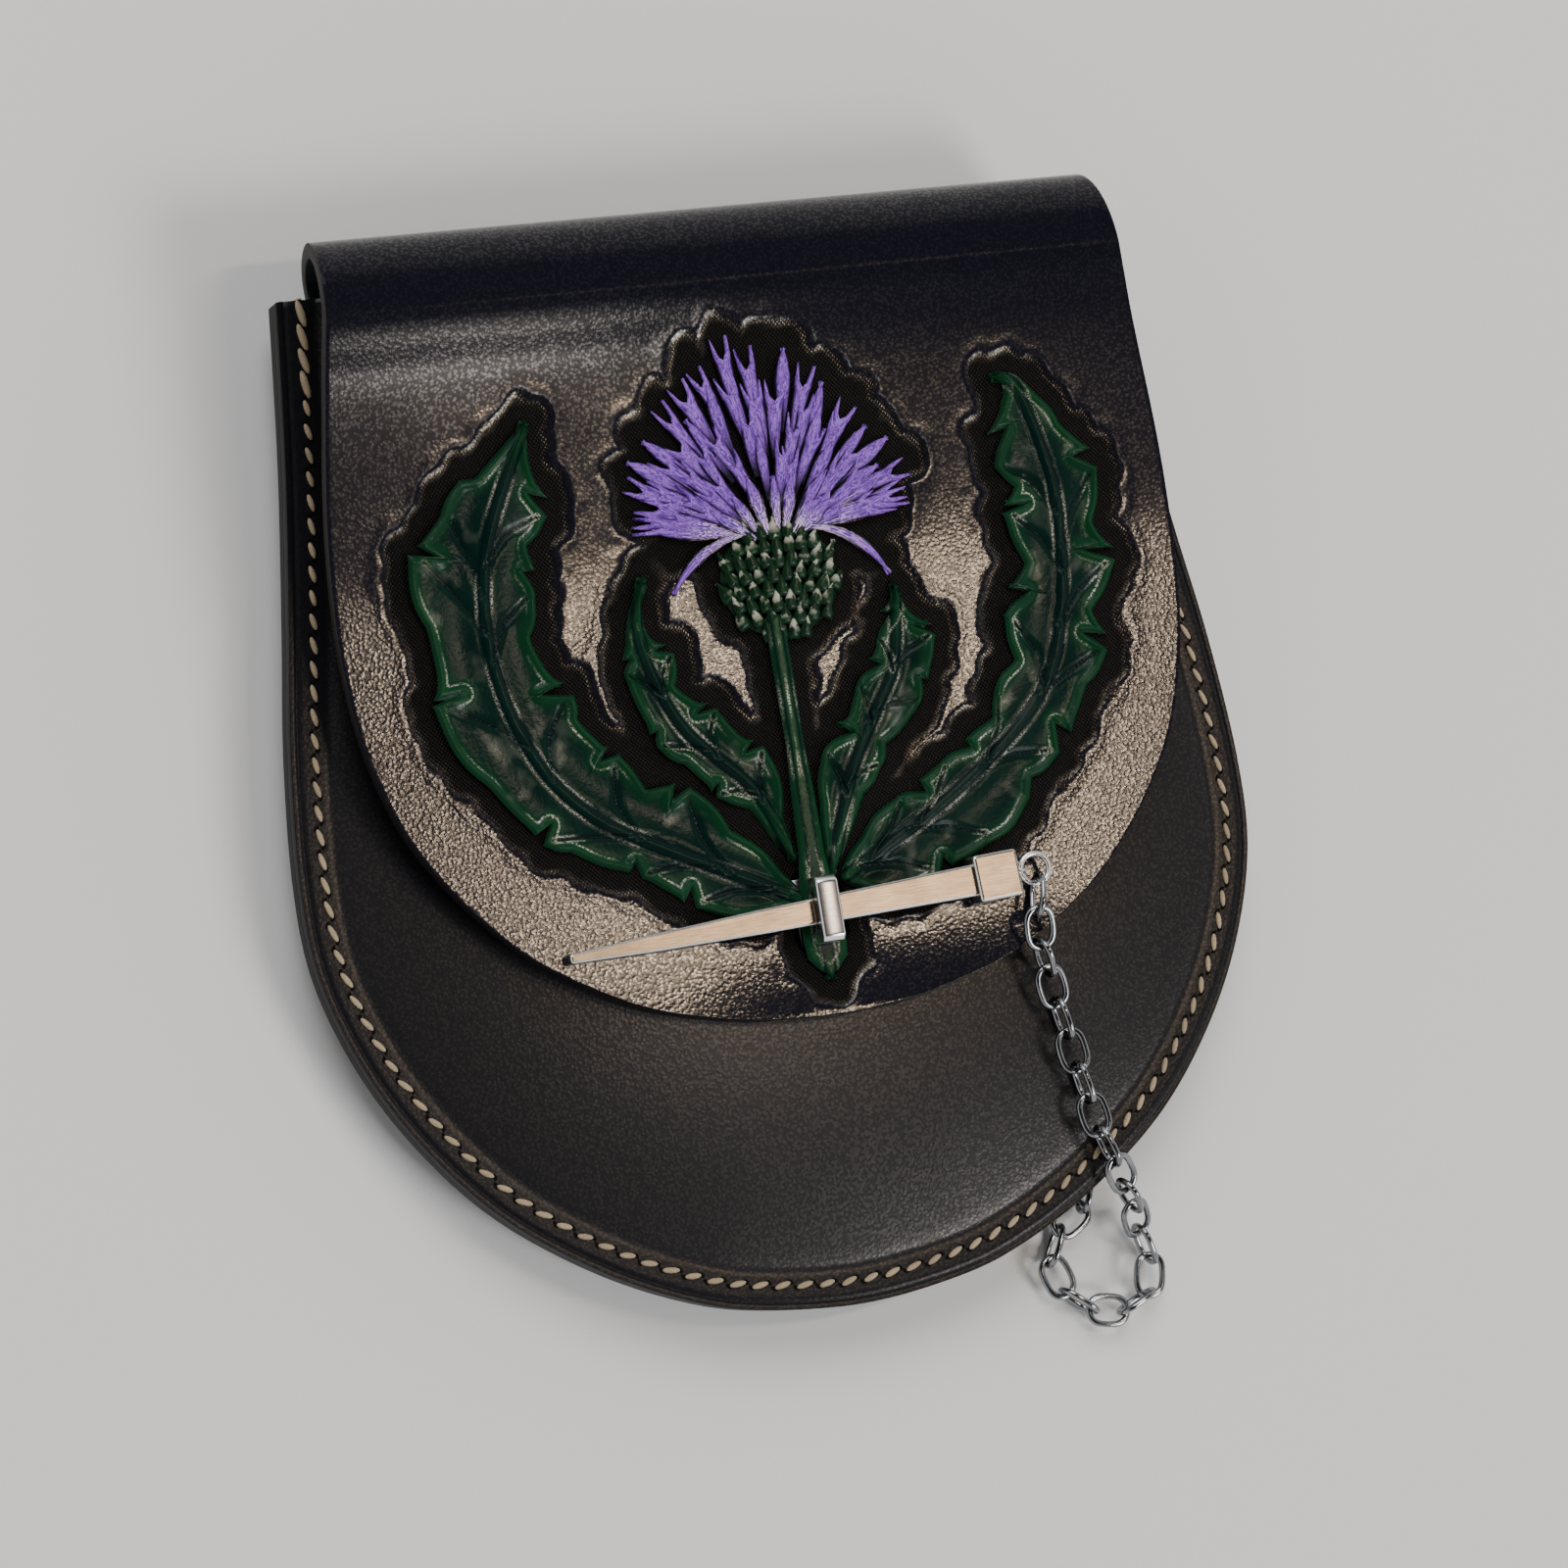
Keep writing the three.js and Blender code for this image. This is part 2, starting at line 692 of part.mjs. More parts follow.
// Height of the pocket front's outer face on its middle line
function frontAt(y) {
  const focusY = pocketTop - domeFocus * pocketDrop;
  const down = (pocketTop - y) / pocketDrop;
  if (y >= focusY) return rimHigh + domeRise * readTable(domeLine, 'down', 'rise', down);
  const edgeY = pocketTop - pocketDrop;
  return rimHigh + domeHeight(0, edgeY, (y - edgeY) / (focusY - edgeY));
}

// The pin lies with its tip on the flap and its collar's underside on the flap
const tipMiddle = faceAtSlot + clearance + pinThick / 2;
const collarMiddle = faceAtSlot + clearance + collarThick / 2;
const pinTilt = (collarMiddle - tipMiddle) / pinLong;
const pinAtSlot = tipMiddle + pinTilt * pinBehind;

// Arch of flat bar with a foot plate on the pocket front
function makeStaple() {
  const foot = frontAt(slotY + footLong / 2) + clearance;
  const under = pinAtSlot + pinThick / 2 + clearance;
  const top = under + stapleBar;
  const outer = stapleLong / 2;
  const inner = outer - stapleLeg;
  const chamfer = 1.1;
  const section = new THREE.Shape([
    new THREE.Vector2(-outer, foot + stapleFoot / 2),
    new THREE.Vector2(-inner, foot + stapleFoot / 2),
    new THREE.Vector2(-inner, under),
    new THREE.Vector2(inner, under),
    new THREE.Vector2(inner, foot + stapleFoot / 2),
    new THREE.Vector2(outer, foot + stapleFoot / 2),
    new THREE.Vector2(outer, top - chamfer),
    new THREE.Vector2(outer - chamfer, top),
    new THREE.Vector2(-outer + chamfer, top),
    new THREE.Vector2(-outer, top - chamfer),
  ]);
  const arch = new THREE.ExtrudeGeometry(section, {
    depth: stapleWide - 2 * edgeBevel,
    bevelThickness: edgeBevel,
    bevelSize: edgeBevel,
    bevelOffset: -edgeBevel,
    bevelSegments: 1,
  });
  arch.translate(0, 0, -stapleWide / 2 + edgeBevel);
  const plate = new THREE.BoxGeometry(footWide, footLong, stapleFoot);
  plate.translate(0, 0, foot + stapleFoot / 2);
  const geometry = toGeometry(toSolid(standUp(arch)).add(toSolid(plate)));
  geometry.translate(0, slotY, 0);
  return geometry;
}

// Half the pin's width from its tip: share of its length, share of its width at the collar
const pinTaper = [
  { along: 0.0, wide: 0.3 },
  { along: 0.07, wide: 0.38 },
  { along: 0.19, wide: 0.54 },
  { along: 0.32, wide: 0.64 },
  { along: 0.46, wide: 0.76 },
  { along: 0.6, wide: 0.82 },
  { along: 1.0, wide: 1.0 },
];

function slab(points, thick) {
  const geometry = new THREE.ExtrudeGeometry(new THREE.Shape(points), {
    depth: thick - 2 * edgeBevel,
    bevelThickness: edgeBevel,
    bevelSize: edgeBevel,
    bevelOffset: -edgeBevel,
    bevelSegments: 1,
  });
  geometry.translate(0, 0, -thick / 2 + edgeBevel);
  return geometry;
}

// Tapered pin, square collar and eye ring, drawn along X from the middle of the staple
function makePin() {
  const collarAt = pinLong - pinBehind;
  const upper = pinTaper.map((row) => (
    new THREE.Vector2(row.along * pinLong - pinBehind, (row.wide * pinWide) / 2)
  ));
  upper.push(new THREE.Vector2(collarAt + collarSide / 2, pinWide / 2));
  const lower = upper.map((p) => new THREE.Vector2(p.x, -p.y));
  const bar = slab([...lower, ...upper.reverse()], pinThick);
  const side = collarSide / 2;
  const square = [[-side, -side], [side, -side], [side, side], [-side, side]];
  const collar = slab(square.map(([x, y]) => new THREE.Vector2(x, y)), collarThick);
  collar.translate(collarAt + side, 0, 0);
  const ring = new THREE.TorusGeometry((ringOuter - ringWire) / 2, ringWire / 2, 6, 14);
  ring.translate(ringAhead(), 0, 0);
  const neckLong = ringWire * 2.5;
  const neckMiddle = collarAt + collarSide + ringWire * 0.4;
  const neck = new THREE.CylinderGeometry(ringWire / 2, ringWire / 2, neckLong, 8);
  neck.rotateZ(Math.PI / 2);
  neck.translate(neckMiddle, 0, 0);
  return toGeometry(toSolid(bar).add(toSolid(collar)).add(toSolid(ring)).add(toSolid(neck)));
}

// Middle of the eye ring from the middle of the staple
function ringAhead() {
  return pinLong - pinBehind + collarSide + ringOuter / 2 + ringWire / 2;
}

// Oval link: a round ring of twelve sides, cut across and drawn out to its length along X
function makeLink() {
  const sides = 12;
  const halfSide = Math.PI / sides;
  const radius = (linkWide - linkWire) / 2 / Math.cos(halfSide);
  const geometry = new THREE.TorusGeometry(radius, linkWire / 2, 6, sides);
  geometry.rotateZ(halfSide);
  const position = geometry.getAttribute('position');
  const stretch = (linkLong - linkWide) / 2;
  for (let i = 0; i < position.count; i += 1) {
    position.setX(i, position.getX(i) + Math.sign(position.getX(i)) * stretch);
  }
  return toGeometry(toSolid(geometry));
}

// Places where the chain's links hold each other, a link apart along the route
function chainJoints(start) {
  const place = (rows, half, drop) => rows.map((row) => (
    new THREE.Vector3(row.across * half, pocketTop - row.down * drop, row.high)
  ));
  const onFlapFace = place(chainOnFlap, flapHalf, flapDrop);
  const points = [start, ...onFlapFace, ...place(chainOnPocket, pocketHalf, pocketDrop)];
  const route = new THREE.CatmullRomCurve3(points, false, 'centripetal');
  const pitch = linkLong - 2 * linkWire - linkGap;
  const samples = route.getPoints(4000);
  const joints = [samples[0]];
  for (const sample of samples) {
    if (sample.distanceTo(joints[joints.length - 1]) >= pitch) joints.push(sample);
  }
  if (joints.length % 2 === 1) joints.pop();
  return joints;
}

// Wire staple on the back: its bar, at height 0, passes through the last link
function makeAnchor(top) {
  const bend = anchorWire * 1.2;
  const at = (x, z) => new THREE.Vector3(x, 0, z);
  const bar = anchorHalf - bend;
  const path = new THREE.CurvePath();
  path.add(new THREE.LineCurve3(at(-anchorHalf, top), at(-anchorHalf, bend)));
  path.add(new THREE.QuadraticBezierCurve3(at(-anchorHalf, bend), at(-anchorHalf, 0), at(-bar, 0)));
  path.add(new THREE.LineCurve3(at(-bar, 0), at(bar, 0)));
  path.add(new THREE.QuadraticBezierCurve3(at(bar, 0), at(anchorHalf, 0), at(anchorHalf, bend)));
  path.add(new THREE.LineCurve3(at(anchorHalf, bend), at(anchorHalf, top)));
  const section = new THREE.Shape();
  section.absarc(0, 0, anchorWire / 2, 0, Math.PI * 2);
  const geometry = new THREE.ExtrudeGeometry(section, { steps: 24, curveSegments: 4, extrudePath: path });
  return toGeometry(toSolid(geometry));
}

const sporran = new THREE.Group();

function addPiece(name, geometry, material, parent = sporran) {
  const mesh = new THREE.Mesh(geometry, material);
  mesh.name = name;
  parent.add(mesh);
  return mesh;
}

addPiece('back_and_flap', makeBackAndFlap(), leather);
addPiece('pocket_front', makePocketFront(), leather);
addPiece('belt_loop', makeBeltLoop(), leather);
addPiece('clasp_staple', makeStaple(), pewter);

const clasp = new THREE.Group();
clasp.position.set(0, slotY, pinAtSlot);
clasp.rotation.set(0, -Math.atan(pinTilt), THREE.MathUtils.degToRad(pinTurn), 'ZYX');
sporran.add(clasp);
addPiece('clasp_pin', makePin(), pewter, clasp);

// The chain starts inside the eye ring, on the side towards the flap's lower edge
clasp.updateMatrixWorld(true);
const ringHold = (ringOuter - ringWire) / 2 - (linkWire + linkGap) / 2;
const chainStart = clasp.localToWorld(new THREE.Vector3(ringAhead(), -ringHold, 0));
const joints = chainJoints(chainStart);
const link = makeLink();
for (let i = 0; i < joints.length - 1; i += 1) {
  const piece = addPiece(`chain_link_${String(i + 1).padStart(2, '0')}`, link, steel);
  const ahead = joints[i + 1].clone().sub(joints[i]).normalize();
  const sideways = new THREE.Vector3(0, 0, 1).cross(ahead).normalize();
  const upright = ahead.clone().cross(sideways);
  const frame = i % 2 === 0
    ? new THREE.Matrix4().makeBasis(ahead, upright, sideways.clone().negate())
    : new THREE.Matrix4().makeBasis(ahead, sideways, upright);
  piece.quaternion.setFromRotationMatrix(frame);
  piece.position.copy(joints[i]).add(joints[i + 1]).multiplyScalar(0.5);
}

const lastJoint = joints[joints.length - 1];
const lastAhead = lastJoint.clone().sub(joints[joints.length - 2]).normalize();
const anchor = addPiece('chain_anchor', makeAnchor(backLow - seam - lastJoint.z), steel);
anchor.position.copy(lastJoint).addScaledVector(lastAhead, -(anchorWire + linkGap) / 2);
anchor.rotation.z = Math.atan2(lastAhead.y, lastAhead.x) - Math.PI / 2;

export default sporran;
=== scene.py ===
import math
import random

import bmesh
import bpy
import numpy as np
from mathutils import Matrix, Vector


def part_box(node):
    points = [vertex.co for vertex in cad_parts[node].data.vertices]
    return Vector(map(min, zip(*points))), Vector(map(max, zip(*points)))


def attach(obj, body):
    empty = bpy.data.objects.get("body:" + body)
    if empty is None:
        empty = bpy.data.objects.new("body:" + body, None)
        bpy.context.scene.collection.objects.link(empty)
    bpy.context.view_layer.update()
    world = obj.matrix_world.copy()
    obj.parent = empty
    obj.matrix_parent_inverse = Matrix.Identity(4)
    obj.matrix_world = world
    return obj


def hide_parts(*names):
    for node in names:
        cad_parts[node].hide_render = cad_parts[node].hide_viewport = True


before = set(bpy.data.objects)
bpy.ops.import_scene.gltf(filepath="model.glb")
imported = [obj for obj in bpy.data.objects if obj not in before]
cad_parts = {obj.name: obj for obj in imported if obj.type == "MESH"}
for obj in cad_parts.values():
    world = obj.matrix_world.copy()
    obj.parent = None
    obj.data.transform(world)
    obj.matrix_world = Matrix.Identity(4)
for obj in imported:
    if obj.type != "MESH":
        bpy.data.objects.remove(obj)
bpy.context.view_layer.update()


# The table top, and the camera above and to the left of the pouch, looking down at it
# through a long lens, level with the middle of the flap.
camera = bpy.data.objects.new("camera", bpy.data.cameras.new("camera"))
bpy.context.collection.objects.link(camera)
camera.data.lens = 114.1
camera.data.sensor_width = 36
camera.data.clip_start = 0.05
camera.matrix_world = Matrix((
    (0.92859, 0.12443, -0.34962, -0.34418),
    (-0.15916, 0.98460, -0.07233, -0.08937),
    (0.33524, 0.12281, 0.93410, 0.93559),
    (0, 0, 0, 1),
))
bpy.context.scene.camera = camera


def fill(tree, socket, value):
    """Links a node's output to the socket, or sets the socket's own value."""
    if isinstance(value, bpy.types.NodeSocket):
        tree.links.new(value, socket)
    else:
        socket.default_value = (*value, 1) if socket.type == "RGBA" else value


def add_node(tree, kind, inputs=None, **settings):
    made = tree.nodes.new("ShaderNode" + kind)
    for key, value in settings.items():
        setattr(made, key, value)
    for key, value in (inputs or {}).items():
        fill(tree, made.inputs[key], value)
    return made


class Finish:
    """A material. Most of its methods add one node and give back what that node puts out."""

    def __init__(self, name, **sockets):
        self.material = bpy.data.materials.new(name)
        self.material.use_nodes = True
        self.tree = self.material.node_tree
        self.place = add_node(self.tree, "TexCoord").outputs["Object"]
        self.feed(**sockets)

    def feed(self, **sockets):
        shader = self.tree.nodes["Principled BSDF"]
        for key, value in sockets.items():
            fill(self.tree, shader.inputs[key.replace("_", " ")], value)

    def read(self, attribute):
        return add_node(self.tree, "Attribute", attribute_name=attribute).outputs["Fac"]

    def axes(self, vector):
        return add_node(self.tree, "SeparateXYZ", {0: vector}).outputs

    def noise(self, scale, detail=2.0, rough=0.5, at=None):
        return add_node(self.tree, "TexNoise", {"Vector": self.place if at is None else at, "Scale": scale,
                                                "Detail": detail, "Roughness": rough}).outputs["Fac"]

    def span(self, value, low=0.0, high=1.0, start=0.0, end=1.0, curve="LINEAR"):
        """The value moved from low..high to start..end and held between them."""
        return add_node(self.tree, "MapRange", {"Value": value, "From Min": low, "From Max": high, "To Min": start,
                                                "To Max": end}, interpolation_type=curve).outputs[0]

    def fade(self, value, low, high, start=0.0, end=1.0):
        return self.span(value, low, high, start, end, "SMOOTHSTEP")

    def calc(self, how, a, b, clamp=False):
        return add_node(self.tree, "Math", {0: a, 1: b}, operation=how, use_clamp=clamp).outputs[0]

    def times(self, a, b):
        return self.calc("MULTIPLY", a, b)

    def mix(self, share, a, b, kind="RGBA"):
        """Colour a where the share is 0 and colour b where it is 1."""
        return add_node(self.tree, "Mix", {"Factor": share, "A": a, "B": b}, data_type=kind).outputs["Result"]

    def bump(self, height, strength, deep):
        return add_node(self.tree, "Bump", {"Height": height, "Strength": strength,
                                            "Distance": deep}).outputs["Normal"]


table_top = Finish("pale_table", Roughness=0.9)
table_top.feed(Base_Color=table_top.mix(table_top.noise(3.0), (0.70, 0.70, 0.70), (0.74, 0.74, 0.74)))
bm = bmesh.new()
bmesh.ops.create_grid(bm, x_segments=8, y_segments=8, size=2.5)
mesh = bpy.data.meshes.new("table")
bm.to_mesh(mesh)
bm.free()
mesh.materials.append(table_top.material)
table = bpy.data.objects.new("table", mesh)
bpy.context.collection.objects.link(table)

# A bright ring of light low round the table and a dark ceiling: black leather only shines where
# a softbox is mirrored in it.
world = bpy.data.worlds.new("studio")
world.use_nodes = True
sky = world.node_tree
height = add_node(sky, "SeparateXYZ", {0: add_node(sky, "TexCoord").outputs["Generated"]}).outputs["Z"]
glow = add_node(sky, "MapRange", {"Value": height, "From Min": 0.45, "From Max": 0.8, "To Min": 0.85, "To Max": 0.02},
                interpolation_type="SMOOTHSTEP")
sky.links.new(glow.outputs[0], sky.nodes["Background"].inputs["Strength"])
sky.nodes["Background"].inputs["Color"].default_value = (1, 1, 1, 1)
bpy.context.scene.world = world


def add_lamp(name, kind, energy, shines, place=(0, 0, 0)):
    lamp = bpy.data.lights.new(name, kind)
    lamp.energy = energy
    light = bpy.data.objects.new(name, lamp)
    bpy.context.collection.objects.link(light)
    light.location = place
    light.rotation_mode = "QUATERNION"
    light.rotation_quaternion = Vector(shines).to_track_quat("-Z", "Y")
    return lamp


# Two softboxes that the flap and its crest mirror, and two wide suns for the table and the relief
pouch_middle = Vector((0, -0.02, 0.02))
for name, place, wide, tall, energy, colour in (
        ("flap_light", (0.415, 0.036, 1.10), 0.31, 0.05, 2.8, (1.0, 0.82, 0.62)),
        ("crest_light", (0.29, -0.16, 1.10), 0.12, 0.10, 0.30, (1.0, 0.97, 0.95))):
    lamp = add_lamp(name, "AREA", energy, pouch_middle - Vector(place), place)
    lamp.shape = "RECTANGLE"
    lamp.size, lamp.size_y = tall, wide
    lamp.color = colour
for name, side, spread in (("front_right", (0.55, -0.55, 0.72), 22), ("behind", (-0.10, 0.66, 0.75), 35)):
    add_lamp(name, "SUN", 1.7, -Vector(side)).angle = math.radians(spread)


# Back, roll and flap are one piece of 3 mm vegetable-tanned leather, dyed near black. It is bent
# round over the mouth of the pocket without a seam, and hangs down the front as the flap.
# Lengths are in millimetres; the outline and the face go by shares of the flap's drop.
hide = 3.0
back_low = 7.6
pocket_top = 88.0
flap_half, flap_drop = 88.3, 153.0
strap_half = 79.3
roll_high, roll_reach = 25.4, 9.5
slot_y, slot_half, slot_straight = -44.5, 6.0, 3.25
flap_outline = (
    (0.0, 0.935), (0.065, 0.947), (0.163, 0.966), (0.294, 0.991), (0.392, 1.0), (0.49, 0.998),
    (0.588, 0.977), (0.686, 0.926), (0.752, 0.863), (0.817, 0.776), (0.876, 0.672), (0.928, 0.532),
    (0.961, 0.41), (0.98, 0.291), (0.993, 0.176), (1.0, 0.03),
)
crest_y = 81.0
flap_face = (
    (0.0, 1.042), (0.03, 1.042), (0.046, 1.034), (0.085, 0.985), (0.13, 0.925), (0.19, 0.867), (0.26, 0.810),
    (0.32, 0.767), (0.39, 0.724), (0.45, 0.697), (0.52, 0.678), (0.60, 0.663), (0.70, 0.653), (0.80, 0.650),
    (0.88, 0.652), (0.94, 0.662), (1.0, 0.683),
)


def read_rows(rows, at):
    """The height of a smooth curve drawn through the rows."""
    last = len(rows) - 1
    i = 0
    while i < last - 1 and rows[i + 1][0] < at:
        i += 1
    before, a, b, after = rows[max(i - 1, 0)], rows[i], rows[i + 1], rows[min(i + 2, last)]
    span = b[0] - a[0]
    t = min(max((at - a[0]) / span, 0), 1)
    lean_a = (b[1] - before[1]) / (b[0] - before[0]) * span
    lean_b = (after[1] - a[1]) / (after[0] - a[0]) * span
    return ((2 * t**3 - 3 * t**2 + 1) * a[1] + (t**3 - 2 * t**2 + t) * lean_a
            + (3 * t**2 - 2 * t**3) * b[1] + (t**3 - t**2) * lean_b)


def flap_high(y):
    """Height of the flap's face over the table."""
    down = min(max((pocket_top - y) / flap_drop, 0), 1)
    return back_low + roll_high * read_rows(flap_face, down)


def smooth_line(points, count):
    """Evenly spaced points on a rounded line through the given ones."""
    knots = np.array([points[0], *points, points[-1]], float)
    t = np.linspace(0, 1, 40, endpoint=False)[:, None]
    runs = []
    for a, b, c, d in zip(knots, knots[1:], knots[2:], knots[3:]):
        runs.append(0.5 * (2 * b + (c - a) * t + (2 * a - 5 * b + 4 * c - d) * t**2
                           + (3 * b - a - 3 * c + d) * t**3))
    dense = np.vstack(runs + [knots[-1:]])
    gone = np.concatenate([[0], np.cumsum(np.linalg.norm(np.diff(dense, axis=0), axis=1))])
    even = np.linspace(0, gone[-1], count)
    return np.stack([np.interp(even, gone, dense[:, k]) for k in range(dense.shape[1])], axis=1)


def directions(line):
    ahead = np.gradient(line, axis=0)
    return ahead / np.linalg.norm(ahead, axis=1)[:, None]


def beside(line, share, off):
    """Points beside a line, at shares of its length and so far to its left."""
    even = np.linspace(0, 1, len(line))
    x, y, run_x, run_y = (np.interp(share, even, column) for column in (*line.T, *directions(line).T))
    return np.stack([x - run_y * off, y + run_x * off], axis=-1)


def far_from(points, line):
    """Distance of each point from a line of straight pieces."""
    best = np.full(len(points), 1e9)
    for a, b in zip(line, line[1:]):
        run = b - a
        t = np.clip(((points - a) @ run) / max(run @ run, 1e-9), 0, 1)
        best = np.minimum(best, np.linalg.norm(points - a - t[:, None] * run, axis=1))
    return best


def inside(points, ring):
    """Which points lie inside a closed outline."""
    x, y = points[:, 0], points[:, 1]
    hit = np.zeros(len(points), bool)
    for (ax, ay), (bx, by) in zip(ring, np.roll(ring, -1, axis=0)):
        if ay == by:
            continue
        crosses = (ay > y) != (by > y)
        hit ^= crosses & (x < ax + (y - ay) * (bx - ax) / (by - ay))
    return hit


def face_upwards(bm, up=True):
    bmesh.ops.recalc_face_normals(bm, faces=bm.faces)
    if (sum(f.normal.z for f in bm.faces) > 0) != up:
        bmesh.ops.reverse_faces(bm, faces=bm.faces)


def finish_piece(bm, name, finishes, smooth=True):
    """A mesh drawn in millimetres becomes a piece of the pouch."""
    bmesh.ops.scale(bm, vec=(0.001, 0.001, 0.001), verts=bm.verts)
    mesh = bpy.data.meshes.new(name)
    bm.to_mesh(mesh)
    bm.free()
    if smooth:
        mesh.shade_smooth()
    for finish in finishes:
        mesh.materials.append(finish)
    piece = bpy.data.objects.new(name, mesh)
    bpy.context.collection.objects.link(piece)
    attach(piece, "root")
    return piece


def give_thickness(piece, thick, rim_finish=0, under_finish=0):
    wall = piece.modifiers.new("thickness", "SOLIDIFY")
    wall.thickness = thick * 0.001
    wall.offset = -1
    wall.material_offset = under_finish
    wall.material_offset_rim = rim_finish


def leather_piece(bm, name, face_finish, thick, rounded, smooth=True):
    """A sheet with its dyed face, its flesh side and edges that are rounded and burnished."""
    piece = finish_piece(bm, name, [face_finish, flesh_finish, edge_finish], smooth)
    give_thickness(piece, thick, rim_finish=2, under_finish=1)
    bevel = piece.modifiers.new("rounded_edges", "BEVEL")
    bevel.width = rounded * 0.001
    bevel.segments = 2
    bevel.limit_method = "ANGLE"
    bevel.angle_limit = math.radians(50)
    bevel.use_clamp_overlap = True
    return piece


# The thistle is carved into the flap: a flower, its scaled cup, a stem with a leaf at its foot,
# and two large and two small leaves. Each leaf has the side of its outer lobes, its widest lobe,
# its midrib in shares of the flap's size, and the lobes outside and inside the midrib.
large_lobe, small_lobe, stem_half = 16.0, 8.4, 2.0
leaves = {
    "left_large": (1, large_lobe, (
        (-0.03, 0.85), (-0.3, 0.77), (-0.485, 0.708), (-0.6, 0.625), (-0.663, 0.5), (-0.645, 0.36),
        (-0.518, 0.199)), (
        (0.05, 0.34), (0.157, 0.56), (0.175, 0.34), (0.25, 0.44), (0.268, 0.3), (0.354, 0.53),
        (0.386, 0.67), (0.395, 0.41), (0.482, 0.7), (0.596, 0.89), (0.6, 0.46), (0.691, 0.76),
        (0.775, 0.98), (0.778, 0.58), (0.83, 0.62), (0.881, 0.55), (0.892, 0.36)), (
        (0.05, 0.26), (0.144, 0.52), (0.225, 0.83), (0.244, 0.6), (0.289, 0.58), (0.372, 0.83),
        (0.396, 0.62), (0.492, 0.73), (0.533, 0.83), (0.559, 0.475), (0.659, 0.54), (0.73, 0.66),
        (0.773, 0.5), (0.82, 0.48), (0.875, 0.64), (0.9, 0.33))),
    "left_small": (1, small_lobe, (
        (-0.04, 0.8), (-0.107, 0.7), (-0.253, 0.606), (-0.322, 0.489), (-0.293, 0.41)), (
        (0.205, 0.37), (0.321, 0.79), (0.344, 0.52), (0.456, 0.63), (0.528, 0.82), (0.56, 0.6),
        (0.731, 0.63), (0.765, 0.37)), (
        (0.13, 0.25), (0.302, 0.92), (0.33, 0.55), (0.486, 0.92), (0.53, 0.5), (0.641, 0.42),
        (0.733, 0.71), (0.766, 0.32))),
    "right_large": (-1, large_lobe, (
        (0.06, 0.83), (0.35, 0.744), (0.6, 0.634), (0.694, 0.521), (0.719, 0.37), (0.657, 0.229),
        (0.589, 0.206)), (
        (0.04, 0.44), (0.139, 0.7), (0.16, 0.54), (0.24, 0.8), (0.321, 0.72), (0.346, 0.56),
        (0.4, 0.63), (0.43, 0.38), (0.496, 0.52), (0.546, 0.69), (0.563, 0.34), (0.598, 0.37),
        (0.671, 0.74), (0.686, 0.31), (0.726, 0.41), (0.795, 0.66), (0.82, 0.4), (0.873, 0.34),
        (0.93, 0.2)), (
        (0.072, 0.29), (0.16, 0.42), (0.2, 0.25), (0.257, 0.39), (0.307, 0.28), (0.371, 0.32),
        (0.407, 0.53), (0.484, 0.49), (0.566, 0.77), (0.616, 0.47), (0.664, 0.48), (0.755, 0.76),
        (0.768, 0.41), (0.801, 0.44), (0.845, 0.7), (0.9, 0.36))),
    "right_small": (-1, small_lobe, (
        (0.04, 0.825), (0.13, 0.695), (0.212, 0.618), (0.273, 0.556), (0.299, 0.456)), (
        (0.295, 0.44), (0.406, 0.64), (0.487, 0.55), (0.661, 0.93), (0.715, 0.75), (0.833, 1.0),
        (0.86, 0.5)), (
        (0.227, 0.62), (0.376, 0.86), (0.467, 0.36), (0.618, 0.7), (0.723, 0.35), (0.811, 0.44),
        (0.9, 0.1))),
    "stem": (1, stem_half, (
        (0.0, 0.48), (0.004, 0.66), (0.002, 0.8), (0.0, 0.957)), (
        (0.001, 0.95), (0.36, 0.95), (0.66, 1.4), (0.86, 2.3), (0.93, 2.1)), (
        (0.001, 0.95), (0.36, 0.95), (0.66, 1.4), (0.86, 2.3), (0.93, 2.1))),
}
petal_reach = ((-18, 0.59), (1, 0.6), (9, 0.64), (22, 0.8), (35, 0.75), (43, 0.76), (51, 0.81),
               (65, 0.84), (78, 0.93), (87, 0.95), (100, 1.0), (112, 0.96), (127, 0.87), (140, 0.86),
               (154, 0.84), (167, 0.76), (184, 0.59))
flower_reach = 38.9
fan_x, fan_y = 3.0, 30.9
bulb_x, bulb_y, bulb_half, bulb_tall = 2.4, 21.4, 12.3, 22.6


def rib_line(name):
    return smooth_line([(x * flap_half, pocket_top - down * flap_drop) for x, down in leaves[name][2]], 401)


def rounded_lobes(rows):
    """Each lobe has a full back and ends in a thorn, whose short side sweeps in hollow."""
    stops = ((0.0, 0.0),) + rows + ((1.0, 0.0),)
    along = np.unique(np.concatenate([np.linspace(0, 1, 260), [a for a, _ in stops],
                                      [a + k * 0.003 for a, _ in rows for k in range(1, 6)]]))
    along = along[along <= 1]
    out = np.interp(along, *zip(*stops))
    for (a, p), (b, q), (c, r) in zip(stops, stops[1:], stops[2:]):
        if b - a > 0.03:
            t = np.clip((along - a) / (b - a), 0, 1)
            out += 0.10 * min((b - a) / 0.1, 1.0) * np.sin(np.pi * t) * (1 - t) ** 0.5
        if q > p and q - r > 0.1:
            sweep = (q - r) * np.exp(-(along - c) / 0.022)
            out += np.where(along > c, np.clip(sweep - (q - r) * 0.02, 0, None), 0)
    return along, out * np.clip((1 - along) / 0.03, 0, 1)


